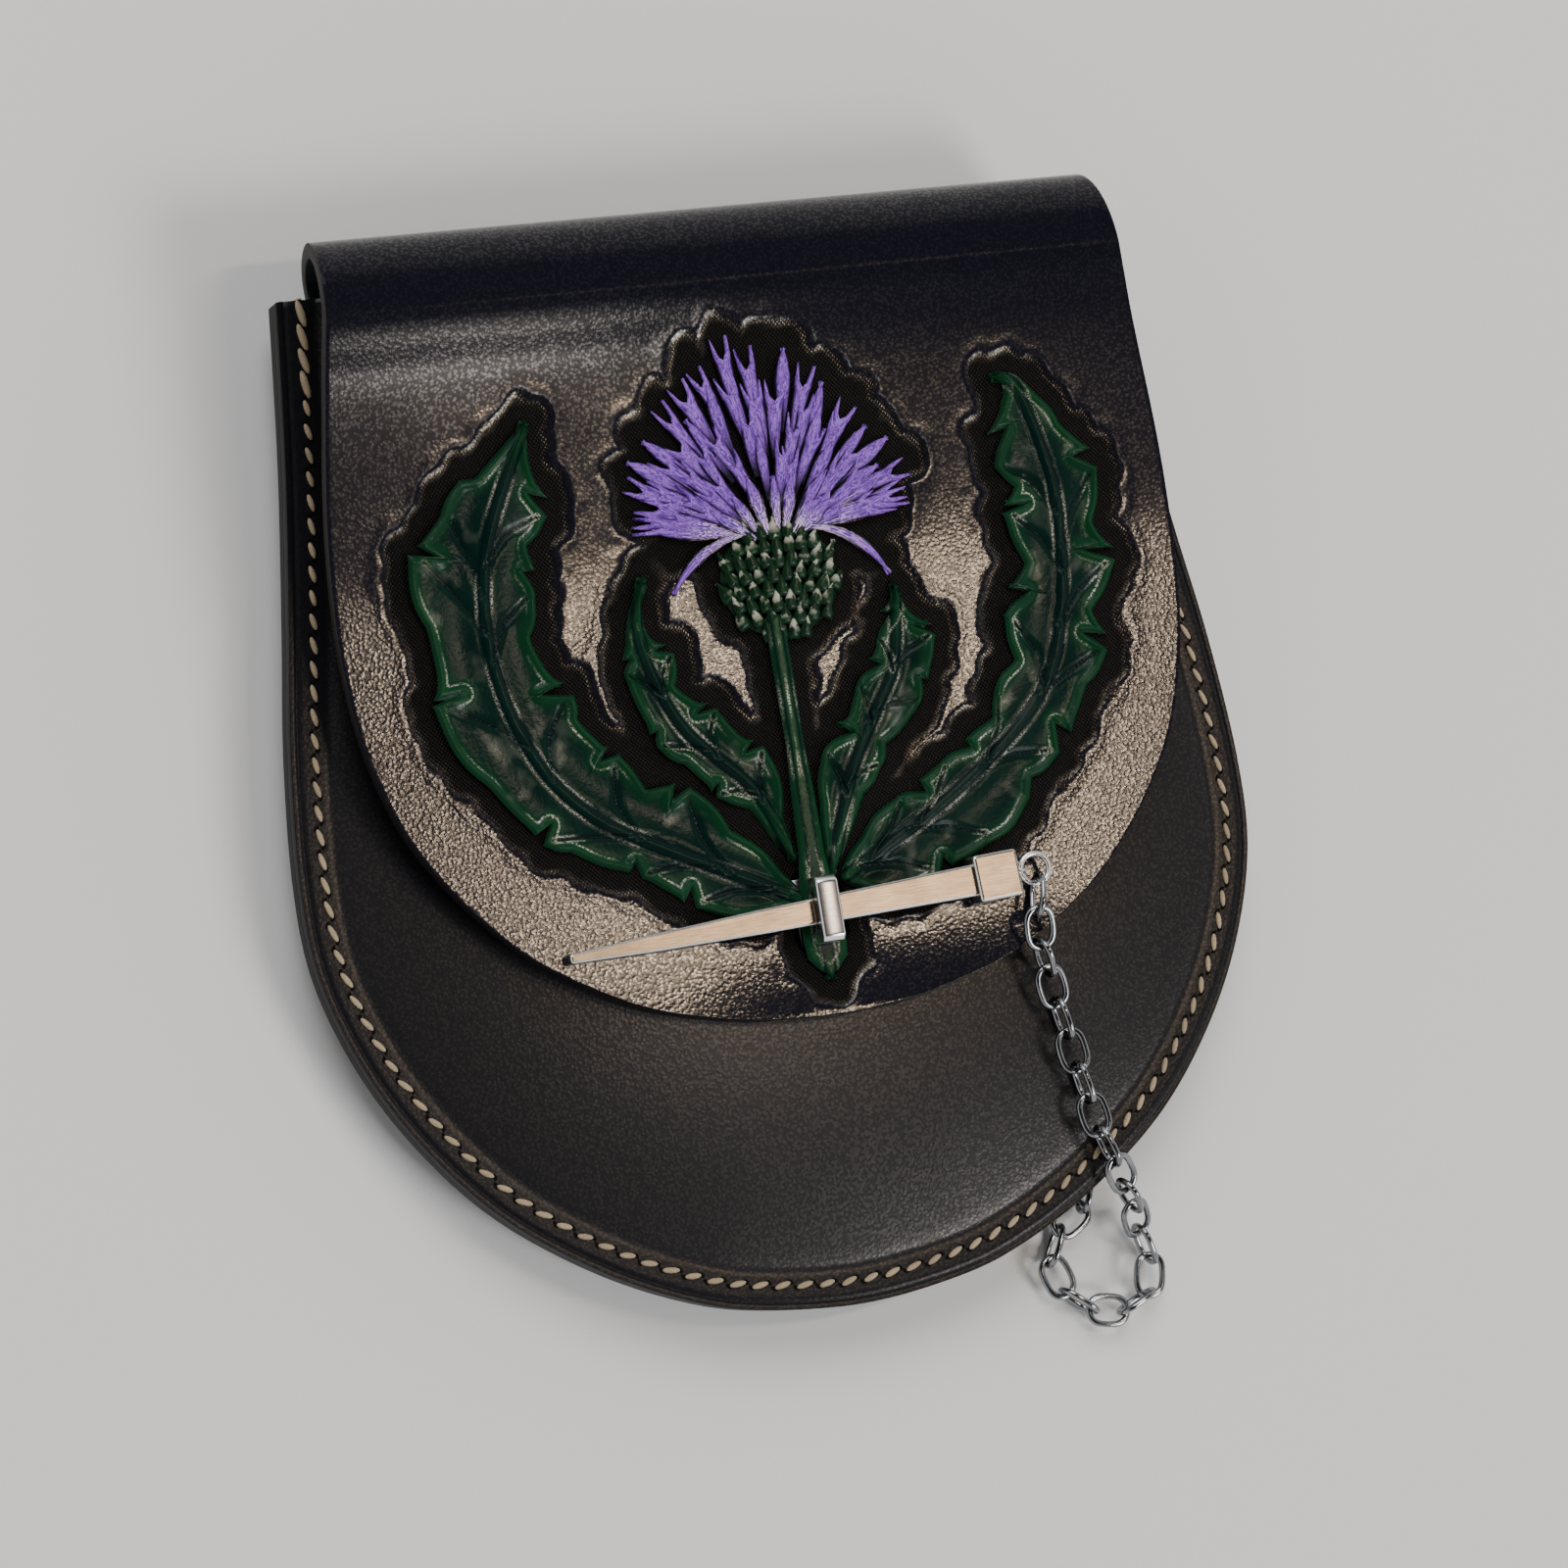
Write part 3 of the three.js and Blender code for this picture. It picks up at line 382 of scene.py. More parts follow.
def leaf_ring(name):
    side, size, _, outer, inner = leaves[name]
    halves = []
    for rows, turn in ((outer, side), (inner, -side)):
        along, out = rounded_lobes(rows)
        halves.append(beside(rib_line(name), along, out * size * turn))
    return np.vstack([halves[0], halves[1][::-1]])


def far_from_ring(points, ring):
    return far_from(points, np.vstack([ring, ring[:1]]))


rings = {name: leaf_ring(name) for name in leaves}
petal_valley = 0.84
fan = []
for (turn, reach), (turn_b, reach_b) in zip(petal_reach, petal_reach[1:] + petal_reach[-1:]):
    for angle, far in ((turn, reach), ((turn + turn_b) / 2, min(reach, reach_b) * petal_valley)):
        fan.append((fan_x + math.cos(math.radians(angle)) * far * flower_reach,
                    fan_y + math.sin(math.radians(angle)) * far * flower_reach))
rings["flower"] = np.array(fan[:-1])
rings["cup"] = np.array([(bulb_x + bulb_half * math.cos(k * math.pi / 24),
                          bulb_y + bulb_tall / 2 * math.sin(k * math.pi / 24)) for k in range(48)])

# The leather's own shape: rows of points from the flap's tip up its face, round the roll and
# onto the back, with the ground round the carving beaten down and stippled. A row holds y, z,
# the two parts of its normal, and the half width.
face_rows, roll_rows, back_rows = 170, 40, 5
rows = []
crest_down = (pocket_top - crest_y) / flap_drop
for i in range(face_rows + 1):
    down = 1 - (i / face_rows) ** 1.3 * (1 - crest_down)
    below, above = (flap_high(pocket_top - flap_drop * (down + near)) for near in (0.004, -0.004))
    normal = Vector(((below - above) * min(1, (down - crest_down) / 0.02), 0.008 * flap_drop)).normalized()
    rows.append((pocket_top - down * flap_drop, flap_high(pocket_top - down * flap_drop), normal.x, normal.y,
                 read_rows(flap_outline, down) * flap_half))
# The front quarter of the roll is wide and low, the hidden quarter behind it tight
crest_half = read_rows(flap_outline, crest_down) * flap_half
roll_middle = back_low + roll_high / 2
for i in range(1, roll_rows + 1):
    turn = math.radians(90 - 180 * i / roll_rows)
    wide = pocket_top + roll_reach - crest_y if turn > 0 else roll_reach
    tall = flap_high(crest_y) - roll_middle if turn > 0 else roll_high / 2
    normal = Vector((math.cos(turn) / wide, math.sin(turn) / tall)).normalized()
    rows.append((pocket_top + roll_reach - wide + wide * math.cos(turn), roll_middle + tall * math.sin(turn),
                 normal.x, normal.y, strap_half + (crest_half - strap_half) * (1 - i / roll_rows)))
for i in range(1, back_rows + 1):
    rows.append((pocket_top - i * 2.8, back_low, 0, -1, strap_half))

bm = bmesh.new()
bmesh.ops.create_grid(bm, x_segments=200, y_segments=len(rows) - 1, size=1)
grid = np.array([v.co[:2] for v in bm.verts])
row_of = np.clip(np.rint((grid[:, 1] + 1) / 2 * (len(rows) - 1)).astype(int), 0, len(rows) - 1)
bases = np.array(rows)[row_of]
plan = np.stack([grid[:, 0] * bases[:, 4], bases[:, 0]], axis=1)
art = np.full(len(plan), 60.0)
near = row_of <= face_rows
for ring in rings.values():
    away = far_from_ring(plan[near], ring)
    away[inside(plan[near], ring)] *= -1
    art[near] = np.minimum(art[near], away)
# The beaten ground ends in a step about 4 mm from the carving, along a wavy line
wave = 0.45 * np.sin(plan[:, 0] * 0.9 + 1.3 * np.sin(plan[:, 1] * 0.35)) + 0.35 * np.sin(plan[:, 1] * 1.1 + 0.6)
step = np.clip((art - 3.3 - wave) / 2.0, 0, 1)
step = step * step * (3 - 2 * step)
swell = 0.07 * np.exp(-((art - 5.9 - wave) / 1.0) ** 2)
low_right = np.clip((plan[:, 0] + 30) / 34, 0, 1) * np.where(near, np.clip((-44 - plan[:, 1]) / 20, 0, 1) ** 2, 0)
lift = -0.65 * (1 - step) + swell + 1.3 * low_right
beaten_layer = bm.verts.layers.float.new("beaten")
for vert, base, at, height, level in zip(bm.verts, bases, plan, lift, step):
    vert.co = (at[0], base[0] + base[2] * height, base[1] + base[3] * height)
    vert[beaten_layer] = 1 - level
bm.normal_update()

# The slot for the staple is punched through the flap
cut = []
for face in bm.faces:
    x, y, z = face.calc_center_median()
    if z > 18 and math.hypot(x, max(abs(y - slot_y) - slot_straight, 0)) < slot_half:
        cut.append(face)
bmesh.ops.delete(bm, geom=cut, context="FACES")
for vert in {v for e in bm.edges if e.is_boundary for v in e.verts}:
    off = vert.co.y - slot_y
    nearest = max(-slot_straight, min(slot_straight, off))
    away = Vector((vert.co.x, off - nearest))
    if away.length < 8 and abs(off) < 14 and vert.co.z > 18:
        away = away.normalized() * slot_half
        vert.co.x, vert.co.y = away.x, slot_y + nearest + away.y


def black_hide(name, tint, dark, warm, hollow, gloss):
    """Near-black leather: its finish, its grain, its dye, and the gloss on the tops of the grain."""
    skin = Finish(name, Specular_Tint=tint)
    pebble = add_node(skin.tree, "TexVoronoi", {"Vector": skin.place, "Scale": 1.0 / 0.0007, "Smoothness": 0.5},
                      feature="SMOOTH_F1").outputs["Distance"]
    grain = skin.calc("ADD", skin.noise(1.0 / 0.0006, 3.0, 0.6), skin.times(pebble, -0.9))
    tops = skin.times(skin.span(grain, 0.02, 0.30), skin.span(skin.noise(24.0, 4.0), 0.3, 0.7, 0.7, 1.15))
    return skin, grain, skin.mix(tops, dark, warm), skin.span(tops, 0, 1, hollow, gloss)


def carved_hide():
    """The flap's hide: the ground round the carving is beaten dull, its outer step is burnished."""
    tint = (1.0, 0.93, 0.86)
    skin, grain, dye, level = black_hide("flap_hide", tint, (0.0060, 0.0062, 0.0105), (0.010, 0.010, 0.015), 0.3, 1.0)
    beaten = skin.read("beaten")
    brink = skin.span(skin.times(beaten, skin.calc("SUBTRACT", 1.0, beaten)), 0.03, 0.18)
    hatch = []
    for turn in (0.6, -0.75):
        turned = add_node(skin.tree, "Mapping", {"Vector": skin.place, "Rotation": (0, 0, turn)}).outputs[0]
        hatch.append(add_node(skin.tree, "TexWave", {"Vector": turned, "Scale": 520.0, "Distortion": 1.2,
                                                     "Detail Scale": 1.0}).outputs["Fac"])
    checks = skin.calc("MINIMUM", *hatch)
    # Hands polish the lower edge and the upper left; the leather is dull between them and on the bend
    across, height, _ = skin.axes(skin.place)
    up = skin.calc("ADD", height, skin.span(skin.noise(35.0, 3.0), 0, 1, -0.018, 0.018))
    low_part = skin.fade(up, 0.034, 0.010)
    high_part = skin.times(skin.fade(up, 0.050, 0.064), skin.fade(across, 0.025, -0.03))
    handled = skin.times(skin.calc("MAXIMUM", low_part, high_part), skin.fade(height, 0.081, 0.075))
    bend = skin.times(skin.fade(height, 0.074, 0.079), skin.fade(height, 0.092, 0.086))
    handled = skin.times(skin.span(handled, 0, 1, 0.42, 1.0), skin.span(bend, 0, 1, 1.0, 0.03))
    lit = skin.span(checks, 0.1, 0.6, 0.05, 0.6)
    gloss = skin.mix(beaten, skin.times(level, handled), skin.times(lit, 0.35), "FLOAT")
    glint = skin.times(skin.times(brink, lit), skin.span(skin.noise(110.0), 0.45, 0.62))
    rise = skin.mix(beaten, skin.span(low_part, 0, 1, 0.03, 0.11), 0.6, "FLOAT")
    skin.feed(Base_Color=skin.mix(beaten, dye, (0.004, 0.0035, 0.003)),
              Specular_IOR_Level=skin.calc("ADD", gloss, glint, clamp=True),
              Specular_Tint=skin.mix(brink, tint, (1.0, 0.80, 0.58)),
              Roughness=skin.span(beaten, 0, 1, 0.14, 0.32),
              Normal=skin.bump(skin.mix(beaten, grain, checks, "FLOAT"), rise, 0.0003))
    return skin.material


def moulded_hide():
    """The pocket's hide: less handled than the flap, and duller still where the rim is sewn."""
    skin, grain, dye, level = black_hide("pocket_hide", (1.0, 0.92, 0.87), (0.0085, 0.0088, 0.0110),
                                         (0.0115, 0.0108, 0.0110), 0.36, 0.68)
    skin.feed(Base_Color=dye, Specular_IOR_Level=skin.times(level, skin.span(skin.read("seam"), 0, 1, 1.0, 0.25)),
              Roughness=0.27, Normal=skin.bump(grain, 0.08, 0.0003))
    return skin.material


def plain_finish(name, pattern, dark, pale, roughness, strength=0.0, deep=0.0002, **sockets):
    """Two tones in a noise pattern (scale, detail, roughness), which also stands up a little."""
    plain = Finish(name, Roughness=roughness, **sockets)
    fibre = plain.noise(*pattern)
    plain.feed(Base_Color=plain.mix(fibre, dark, pale))
    if strength:
        plain.feed(Normal=plain.bump(fibre, strength, deep))
    return plain.material


# The cut edge is rubbed smooth with the fibre just showing; the flesh side is dyed a dull blue-black
flap_finish = carved_hide()
pocket_finish = moulded_hide()
edge_finish = plain_finish("burnished_edge", (900.0, 4.0), (0.003, 0.003, 0.004), (0.014, 0.011, 0.010), 0.5, 0.25,
                           Specular_IOR_Level=0.15)
flesh_finish = plain_finish("flesh_side", (700.0, 6.0, 0.7), (0.006, 0.010, 0.013), (0.022, 0.032, 0.038), 0.8, 0.5,
                            0.0003, Specular_IOR_Level=0.3)
flap = leather_piece(bm, "flap", flap_finish, hide - 0.02, 0.5)
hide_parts("back_and_flap")


# The leaves and the stem stand up from the beaten ground. Each has a rolled edge, a raised midrib
# between two cuts and a vein to every lobe; painted green, shaded blue-green, with painted shade in the cuts and pale
# highlights and sheen painted on.
def leaf_green():
    leaf = Finish("leaf_paint")
    edge, rib, vein = (leaf.read(key) for key in ("edge_mm", "rib_mm", "vein_mm"))
    patch, fine, broad, speck = (leaf.noise(*p) for p in ((90.0, 4.0), (1100.0, 3.0), (150.0, 2.0), (3400.0, 2.0)))

    def band(value, low, high, soft):
        """1 between low and high."""
        rise = leaf.fade(value, low - soft, low + soft)
        return leaf.times(rise, leaf.fade(value, high - soft, high + soft, 1.0, 0.0))

    hollow = leaf.mix(patch, (0.002, 0.007, 0.007), (0.0025, 0.019, 0.013))
    bright = leaf.mix(patch, (0.003, 0.024, 0.009), (0.006, 0.066, 0.020))
    paint = leaf.mix(band(edge, 0.3, 2.2, 2.0), hollow, bright)
    # Painted shade: darker in the vein cuts and down the sides of the midrib into its cuts
    cuts = band(vein, -1.0, 0.32, 0.22)
    paint = leaf.mix(leaf.times(cuts, 0.8), paint, (0.0015, 0.006, 0.006))
    paint = leaf.mix(leaf.times(band(rib, 0.75, 1.35, 0.3), 0.85), paint, (0.0015, 0.007, 0.008))
    # Painted highlights: pale glint lines on the rim, beside the midrib and beside the veins, and a pale painted
    # sheen in patches on the blade
    glint_beside_vein = leaf.times(band(vein, 0.35, 0.75, 0.12), band(edge, 0.9, 3.4, 0.5))
    glint_lines = leaf.calc("MAXIMUM", band(edge, 1.75, 2.15, 0.16), band(rib, 1.45, 1.75, 0.38))
    glint_lines = leaf.calc("MAXIMUM", glint_lines, glint_beside_vein)
    painted_glints = leaf.times(leaf.times(glint_lines, leaf.span(speck, 0.44, 0.60)), leaf.span(patch, 0.46, 0.64))
    blade = leaf.times(band(edge, 1.4, 40.0, 0.4), band(rib, 2.2, 40.0, 0.5))
    painted_sheen = leaf.times(leaf.span(broad, 0.58, 0.86), blade)
    # The painted glints and the painted sheen are pale colours mixed into the leaf paint
    paint = leaf.mix(painted_glints, paint, (0.50, 0.48, 0.40))
    paint = leaf.mix(leaf.times(painted_sheen, 0.18), paint, (0.30, 0.30, 0.25))
    shiny = leaf.calc("MAXIMUM", painted_glints, leaf.times(painted_sheen, 0.5))
    surface = leaf.calc("ADD", leaf.times(fine, 0.5), leaf.times(cuts, -1.4))
    leaf.feed(Base_Color=paint, Specular_IOR_Level=leaf.span(shiny, 0, 1, 0.07, 0.8),
              Roughness=leaf.span(patch, 0.3, 0.7, 0.20, 0.30), Normal=leaf.bump(surface, 0.35, 0.0004))
    return leaf.material


def lobe_veins(rib, rows, reach):
    """A vein from the midrib to the tip of each lobe."""
    outs = [0, *(out for _, out in rows)]
    for k, (at, out) in enumerate(rows[:-1]):
        if out > outs[k] and out > outs[k + 2]:
            share = np.array([max(at - 0.10, 0.02), at - 0.045, at - 0.006])
            yield beside(rib, share, np.array([0.0, 0.34 * out, 0.8 * out]) * reach)


leaf_finish = leaf_green()
columns = 22
for name, (side, size, _, outer, inner) in leaves.items():
    rib = rib_line(name)
    sides = [rounded_lobes(outer), rounded_lobes(inner)]
    stops = np.unique(np.round(np.concatenate([sides[0][0], sides[1][0], np.linspace(0, 1, 190)]), 4))
    stops = stops[np.concatenate([[True], np.diff(stops) > 0.0012])]
    bm = bmesh.new()
    bmesh.ops.create_grid(bm, x_segments=len(stops) - 1, y_segments=2 * columns, size=1)
    grid = np.array([v.co[:2] for v in bm.verts])
    along = stops[np.rint((grid[:, 0] + 1) / 2 * (len(stops) - 1)).astype(int)]
    across = grid[:, 1]
    reach = np.where(across * side >= 0, np.interp(along, *sides[0]), np.interp(along, *sides[1]))
    spread = 1 - (1 - np.abs(across)) ** 1.35
    offset = spread * reach * size * np.where(across >= 0, 1, -1)
    plan = beside(rib, along, offset)
    edge = far_from_ring(plan, rings[name])
    from_rib = np.abs(offset)
    vein = np.full(len(plan), 9.0)
    if name == "stem":
        height = 0.75 + 0.35 * (1 - spread ** 2) - 0.3 * np.exp(-(edge / 0.3) ** 2)
    else:
        for line in (*lobe_veins(rib, outer, size * side), *lobe_veins(rib, inner, -size * side)):
            vein = np.minimum(vein, far_from(plan, line))
        rib_wide = np.where(along < 0.9, 1.0 - 0.35 * along, (1 - along) * 6.8)
        rolled = 0.55 * np.exp(-((edge - 0.95) / 0.75) ** 2) - 0.35 * np.exp(-(edge / 0.35) ** 2)
        ridge = 0.42 * np.exp(-(from_rib / np.maximum(rib_wide, 0.2)) ** 2)
        cuts = -0.3 * np.exp(-((from_rib - 1.5 * rib_wide) / 0.4) ** 2) - 0.50 * np.exp(-(vein / 0.65) ** 2)
        belly = -0.85 * np.exp(-((from_rib - 0.35 * size) / (0.3 * size)) ** 2)
        height = 0.7 + rolled + ridge + cuts + belly
    layers = [bm.verts.layers.float.new(key) for key in ("edge_mm", "rib_mm", "vein_mm")]
    for vert, at, high, values in zip(bm.verts, plan, height, zip(edge, from_rib, vein)):
        vert.co = (at[0], at[1], flap_high(at[1]) + high)
        for layer, value in zip(layers, values):
            vert[layer] = value
    bmesh.ops.remove_doubles(bm, verts=bm.verts, dist=0.01)
    face_upwards(bm)
    leaf = finish_piece(bm, "leaf_" + name if name != "stem" else "stem", [leaf_finish])
    give_thickness(leaf, 1.3)


# The flower: five tiers of narrow florets, each hollowed down its middle and pointed or forked
# at its end, cut one behind the other and painted violet, paler towards their roots, with painted shade along their
# sides and at the roots of the back tiers.
def petal_violet():
    petal = Finish("petal_paint", Specular_IOR_Level=0.15)
    root, side, pale = (petal.read(key) for key in ("from_root", "from_middle", "pale_root"))
    blotch = petal.noise(160.0)
    along = add_node(petal.tree, "CombineXYZ", {0: petal.times(side, 4.0), 1: petal.times(root, 2.2),
                                                2: petal.times(blotch, 14.0)}).outputs[0]
    streak = petal.noise(1.6, 4.0, 0.6, at=along)
    violet = petal.mix(petal.span(streak, 0.38, 0.62), (0.060, 0.014, 0.22), (0.34, 0.15, 0.66))
    # Painted shade: dark along each floret's sides and towards the roots of the back tiers, where they pass under the
    # tiers in front
    deep = petal.times(petal.span(root, 0.55, 0.12), petal.calc("SUBTRACT", 1.0, pale))
    shade = petal.calc("MAXIMUM", petal.span(side, 0.5, 0.85), deep)
    white = petal.times(petal.times(petal.span(root, 0.75, 0.1), pale), petal.span(streak, 0.48, 0.58))
    petal.feed(Base_Color=petal.mix(white, petal.mix(shade, violet, (0.006, 0.003, 0.014)), (0.80, 0.66, 0.80)),
               Roughness=petal.span(blotch, 0, 1, 0.38, 0.6), Normal=petal.bump(streak, 0.4, 0.0002))
    return petal.material


def add_petal(bm, root, turn, long, wide, low, forked, bend, white, layers):
    """A tongue that widens towards its end; bend curves it sideways, in degrees."""
    made = bmesh.ops.create_grid(bm, x_segments=6, y_segments=10, size=1)["verts"]
    for vert in made:
        c, a = vert.co.x, (vert.co.y + 1) / 2
        tip = max(0.0, (a - 0.78) / 0.22)
        breadth = wide * (0.36 + 0.64 * math.sin(math.pi * min(a / 0.8, 1) / 2) ** 1.5)
        if forked:
            prong = math.copysign(0.4 + 0.6 * abs(c), c) if abs(c) > 0.1 else 0.0
            x = (c + (prong - c) * tip ** 1.6) * breadth / 2 * (1 + 0.12 * tip)
            y = a * long * (0.72 + 0.28 * abs(c) ** 1.3 * tip + 0.14 * (1 - tip))
        else:
            taper = 1 if a < 0.62 else max(1 - ((a - 0.62) / 0.38) ** 1.4, 0.02)
            x, y = c * breadth / 2 * taper, a * long
        lean = math.radians(turn + bend * a) - math.pi / 2
        ridge = 0.5 * (1 - c * c) * (0.5 + 0.5 * a) - 0.26 * math.exp(-(c / 0.25) ** 2)
        vert[layers[0]] = a
        vert[layers[1]] = abs(c) * (1 - tip)
        vert[layers[2]] = white
        px = root[0] + x * math.cos(lean) - y * math.sin(lean)
        py = root[1] + x * math.sin(lean) + y * math.cos(lean)
        vert.co = (px, py, flap_high(py) + low + ridge - 0.12 * (1 - a))


petal_finish = petal_violet()
bm = bmesh.new()
layers = [bm.verts.layers.float.new(key) for key in ("from_root", "from_middle", "pale_root")]
picks = random.Random(7)
# Tiers from back to front: florets, first and last turn, reach of their tips, length, width, level
# and share that is forked
tiers = (
    (17, 18, 165, 1.00, 0.36, 3.6, 0.10, 0.4),
    (15, 24, 160, 0.84, 0.33, 3.6, 0.24, 0.7),
    (13, 20, 160, 0.67, 0.31, 3.5, 0.38, 0.8),
    (10, 30, 150, 0.51, 0.30, 3.4, 0.52, 0.8),
    (7, 38, 142, 0.33, 0.28, 3.2, 0.66, 0.2),
)
for count, first, last, tip, length, wide, low, forks in tiers:
    for k in range(count):
        turn = first + (last - first) * (k + picks.uniform(-0.22, 0.22)) / (count - 1)
        reach = float(np.interp(turn, *zip(*petal_reach))) * flower_reach * tip * picks.uniform(0.95, 1.04)
        long = flower_reach * length * picks.uniform(0.9, 1.12)
        begin = max(reach - long, 2.0)
        angle = math.radians(turn)
        root = (fan_x + math.cos(angle) * begin + 5.5 * math.cos(angle) * (1 - tip),
                fan_y - 2.5 + math.sin(angle) * begin)
        add_petal(bm, root, turn + picks.uniform(-3, 3), reach - begin + 1.5, wide * picks.uniform(0.85, 1.12),
                  low + picks.uniform(0, 0.1), picks.random() < forks, picks.uniform(-6, 6), tip < 0.5, layers)
# The lowest florets spread over the cup: turn, length, width, bend, forked, level
for turn, long, wide, bend, forked, high in (
        (4, 20, 3.2, 4, True, 0.5), (12, 23, 3.2, -4, True, 0.42), (20, 22, 3.0, 3, False, 0.3),
        (-2, 20, 2.6, -32, False, 0.62), (178, 20, 3.0, -4, False, 0.5), (168, 24, 3.2, 5, True, 0.42),
        (160, 23, 3.0, -3, True, 0.3), (183, 20, 2.4, 28, False, 0.62)):
    angle = math.radians(turn)
    add_petal(bm, (fan_x + 6.0 * math.cos(angle), fan_y + 0.2 + 3.0 * math.sin(angle)), turn, long, wide, high,
              forked, bend, True, layers)
bmesh.ops.recalc_face_normals(bm, faces=bm.faces)
flower = finish_piece(bm, "flower", [petal_finish])
give_thickness(flower, 0.7)


# The cup under the flower: a low dome of leather cut into overlapping pointed scales, green,
# with pale highlights painted on their tips.
def scale_green():
    scale = Finish("scale_paint", Specular_IOR_Level=0.15, Roughness=0.3)
    mottle = scale.noise(420.0, 3.0)
    green = scale.mix(mottle, (0.001, 0.004, 0.002), (0.004, 0.036, 0.012))
    # Painted highlight: pale flecks on the tip half of each scale
    pale = scale.times(scale.span(scale.read("to_tip"), 0.25, 0.6), scale.span(mottle, 0.52, 0.60))
    scale.feed(Base_Color=scale.mix(pale, green, (0.36, 0.36, 0.29)), Normal=scale.bump(mottle, 0.4, 0.0003))
    return scale.material


def cup_high(x, y):
    far = min(((x - bulb_x) / bulb_half) ** 2 + ((y - bulb_y) / (bulb_tall / 2)) ** 2, 1)
    return flap_high(y) + 0.15 + 0.75 * math.sqrt(1 - far)


bm = bmesh.new()
tip_layer = bm.verts.layers.float.new("to_tip")
dome = bmesh.ops.create_circle(bm, cap_ends=False, segments=48, radius=1)["verts"]
disc = bmesh.ops.contextual_create(bm, geom=dome)["faces"]
for share in (0.14, 0.2, 0.3, 0.4, 0.5):
    bmesh.ops.inset_region(bm, faces=disc, thickness=share * 0.55, use_even_offset=False)
for vert in bm.verts:
    x, y = bulb_x + vert.co.x * bulb_half, bulb_y + vert.co.y * bulb_tall / 2
    vert.co = (x, y, cup_high(x, y) - 0.3)
picks = random.Random(11)
scale_rows, row_step, scale_step = 8, 2.85, 2.7
for row in range(scale_rows):
    y = bulb_y - bulb_tall / 2 + 1.2 + row * row_step
    half = bulb_half * math.sqrt(max(1 - ((y - bulb_y) / (bulb_tall / 2)) ** 2, 0.08)) * 0.98
    count = max(int(2 * half / scale_step), 3)
    for k in range(count + row % 2):
        x = bulb_x + half * (-1 + 2 * (k + 0.5 * (1 - row % 2)) / count)
        made = bmesh.ops.create_grid(bm, x_segments=4, y_segments=5, size=1)["verts"]
        wide, long = picks.uniform(2.4, 3.0), picks.uniform(4.0, 4.9)
        fan_out = (x - bulb_x) / bulb_half * 0.55
        for vert in made:
            c, a = vert.co.x, (vert.co.y + 1) / 2
            breadth = max(wide / 2 * math.sin(math.pi * (0.3 + 0.7 * a)) * (1.15 - 0.45 * a), 0.04)
            sx, sy = c * breadth, (a - 0.45) * long
            px = x + sx * math.cos(fan_out) + sy * math.sin(fan_out)
            py = y - sx * math.sin(fan_out) + sy * math.cos(fan_out)
            vert[tip_layer] = a
            ridge = 0.38 * (1 - c * c) * math.sin(math.pi * (0.15 + 0.75 * a))
            vert.co = (px, py, cup_high(px, py) + 0.12 + ridge + 0.12 * a)
bmesh.ops.recalc_face_normals(bm, faces=bm.faces)
cup = finish_piece(bm, "flower_cup", [scale_green()])
give_thickness(cup, 0.8)


# The pocket: a plain back and a front wet-moulded over a form, so that it stands up in a low dome
# inside a flat rim. Both are 3 mm leather, sewn together through the rim.
pocket_half, pocket_drop, rim_wide, rim_high = 100.0, 209.8, 7.5, 13.8
pocket_outline = ((0.0, 0.871), (0.15, 0.902), (0.3, 0.944), (0.42, 0.98), (0.54, 1.0), (0.63, 0.988),
                  (0.72, 0.924), (0.8, 0.825), (0.87, 0.696), (0.93, 0.524), (0.97, 0.356), (0.99, 0.21))
dome_rise, dome_full, dome_focus = 11.3, 2.2, 0.55
dome_line = ((0.0, 1.0), (0.1, 0.97), (0.2, 0.9), (0.3, 0.78), (0.4, 0.69), (0.5, 0.62), (0.55, 0.6))
half_line = [(out * pocket_half, pocket_top - down * pocket_drop) for down, out in pocket_outline]
edge_line = smooth_line([(-x, y) for x, y in half_line] + [(0, pocket_top - pocket_drop)] + half_line[::-1], 421)

edge_steps, dome_steps, rim_steps = 420, 52, 16
bm = bmesh.new()
bmesh.ops.create_grid(bm, x_segments=edge_steps, y_segments=dome_steps, size=1)
seam_layer = bm.verts.layers.float.new("seam")
rim_rows = rim_steps / dome_steps
for vert in bm.verts:
    ex, ey = edge_line[round((vert.co.x + 1) / 2 * edge_steps)]
    v = (vert.co.y + 1) / 2
    focus = max(ey, pocket_top - dome_focus * pocket_drop)
    reach = math.hypot(ex, ey - focus)
    if v <= rim_rows:
        inward = rim_wide * (v / rim_rows) ** 1.4
        share = 0
    else:
        share = ((v - rim_rows) / (1 - rim_rows)) ** 1.25
        inward = rim_wide + share * (reach - rim_wide)
    rise = dome_rise * read_rows(dome_line, (pocket_top - focus) / pocket_drop) * (1 - (1 - share) ** dome_full)
    crease = -0.12 * math.exp(-((inward - rim_wide - 0.3) / 0.7) ** 2) - 0.28 * math.exp(-((inward - 1.5) / 0.3) ** 2)
    t = inward / reach
    vert.co = (ex * (1 - t), ey + (focus - ey) * t, rim_high + rise + crease)
    vert[seam_layer] = min(max((rim_wide + 1.0 - inward) / 1.2, 0), 1)
bmesh.ops.remove_doubles(bm, verts=bm.verts, dist=0.02)
face_upwards(bm)
pocket = leather_piece(bm, "pocket_front_moulded", pocket_finish, hide, 0.55)
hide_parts("pocket_front")

bm = bmesh.new()
face = bm.faces.new([bm.verts.new((x, y, back_low)) for x, y in edge_line[::3]])
bmesh.ops.inset_region(bm, faces=[face], thickness=6.0, use_even_offset=True)
bmesh.ops.triangulate(bm, faces=[face])
face_upwards(bm, up=False)
leather_piece(bm, "back_panel", pocket_finish, hide, 0.55, smooth=False)


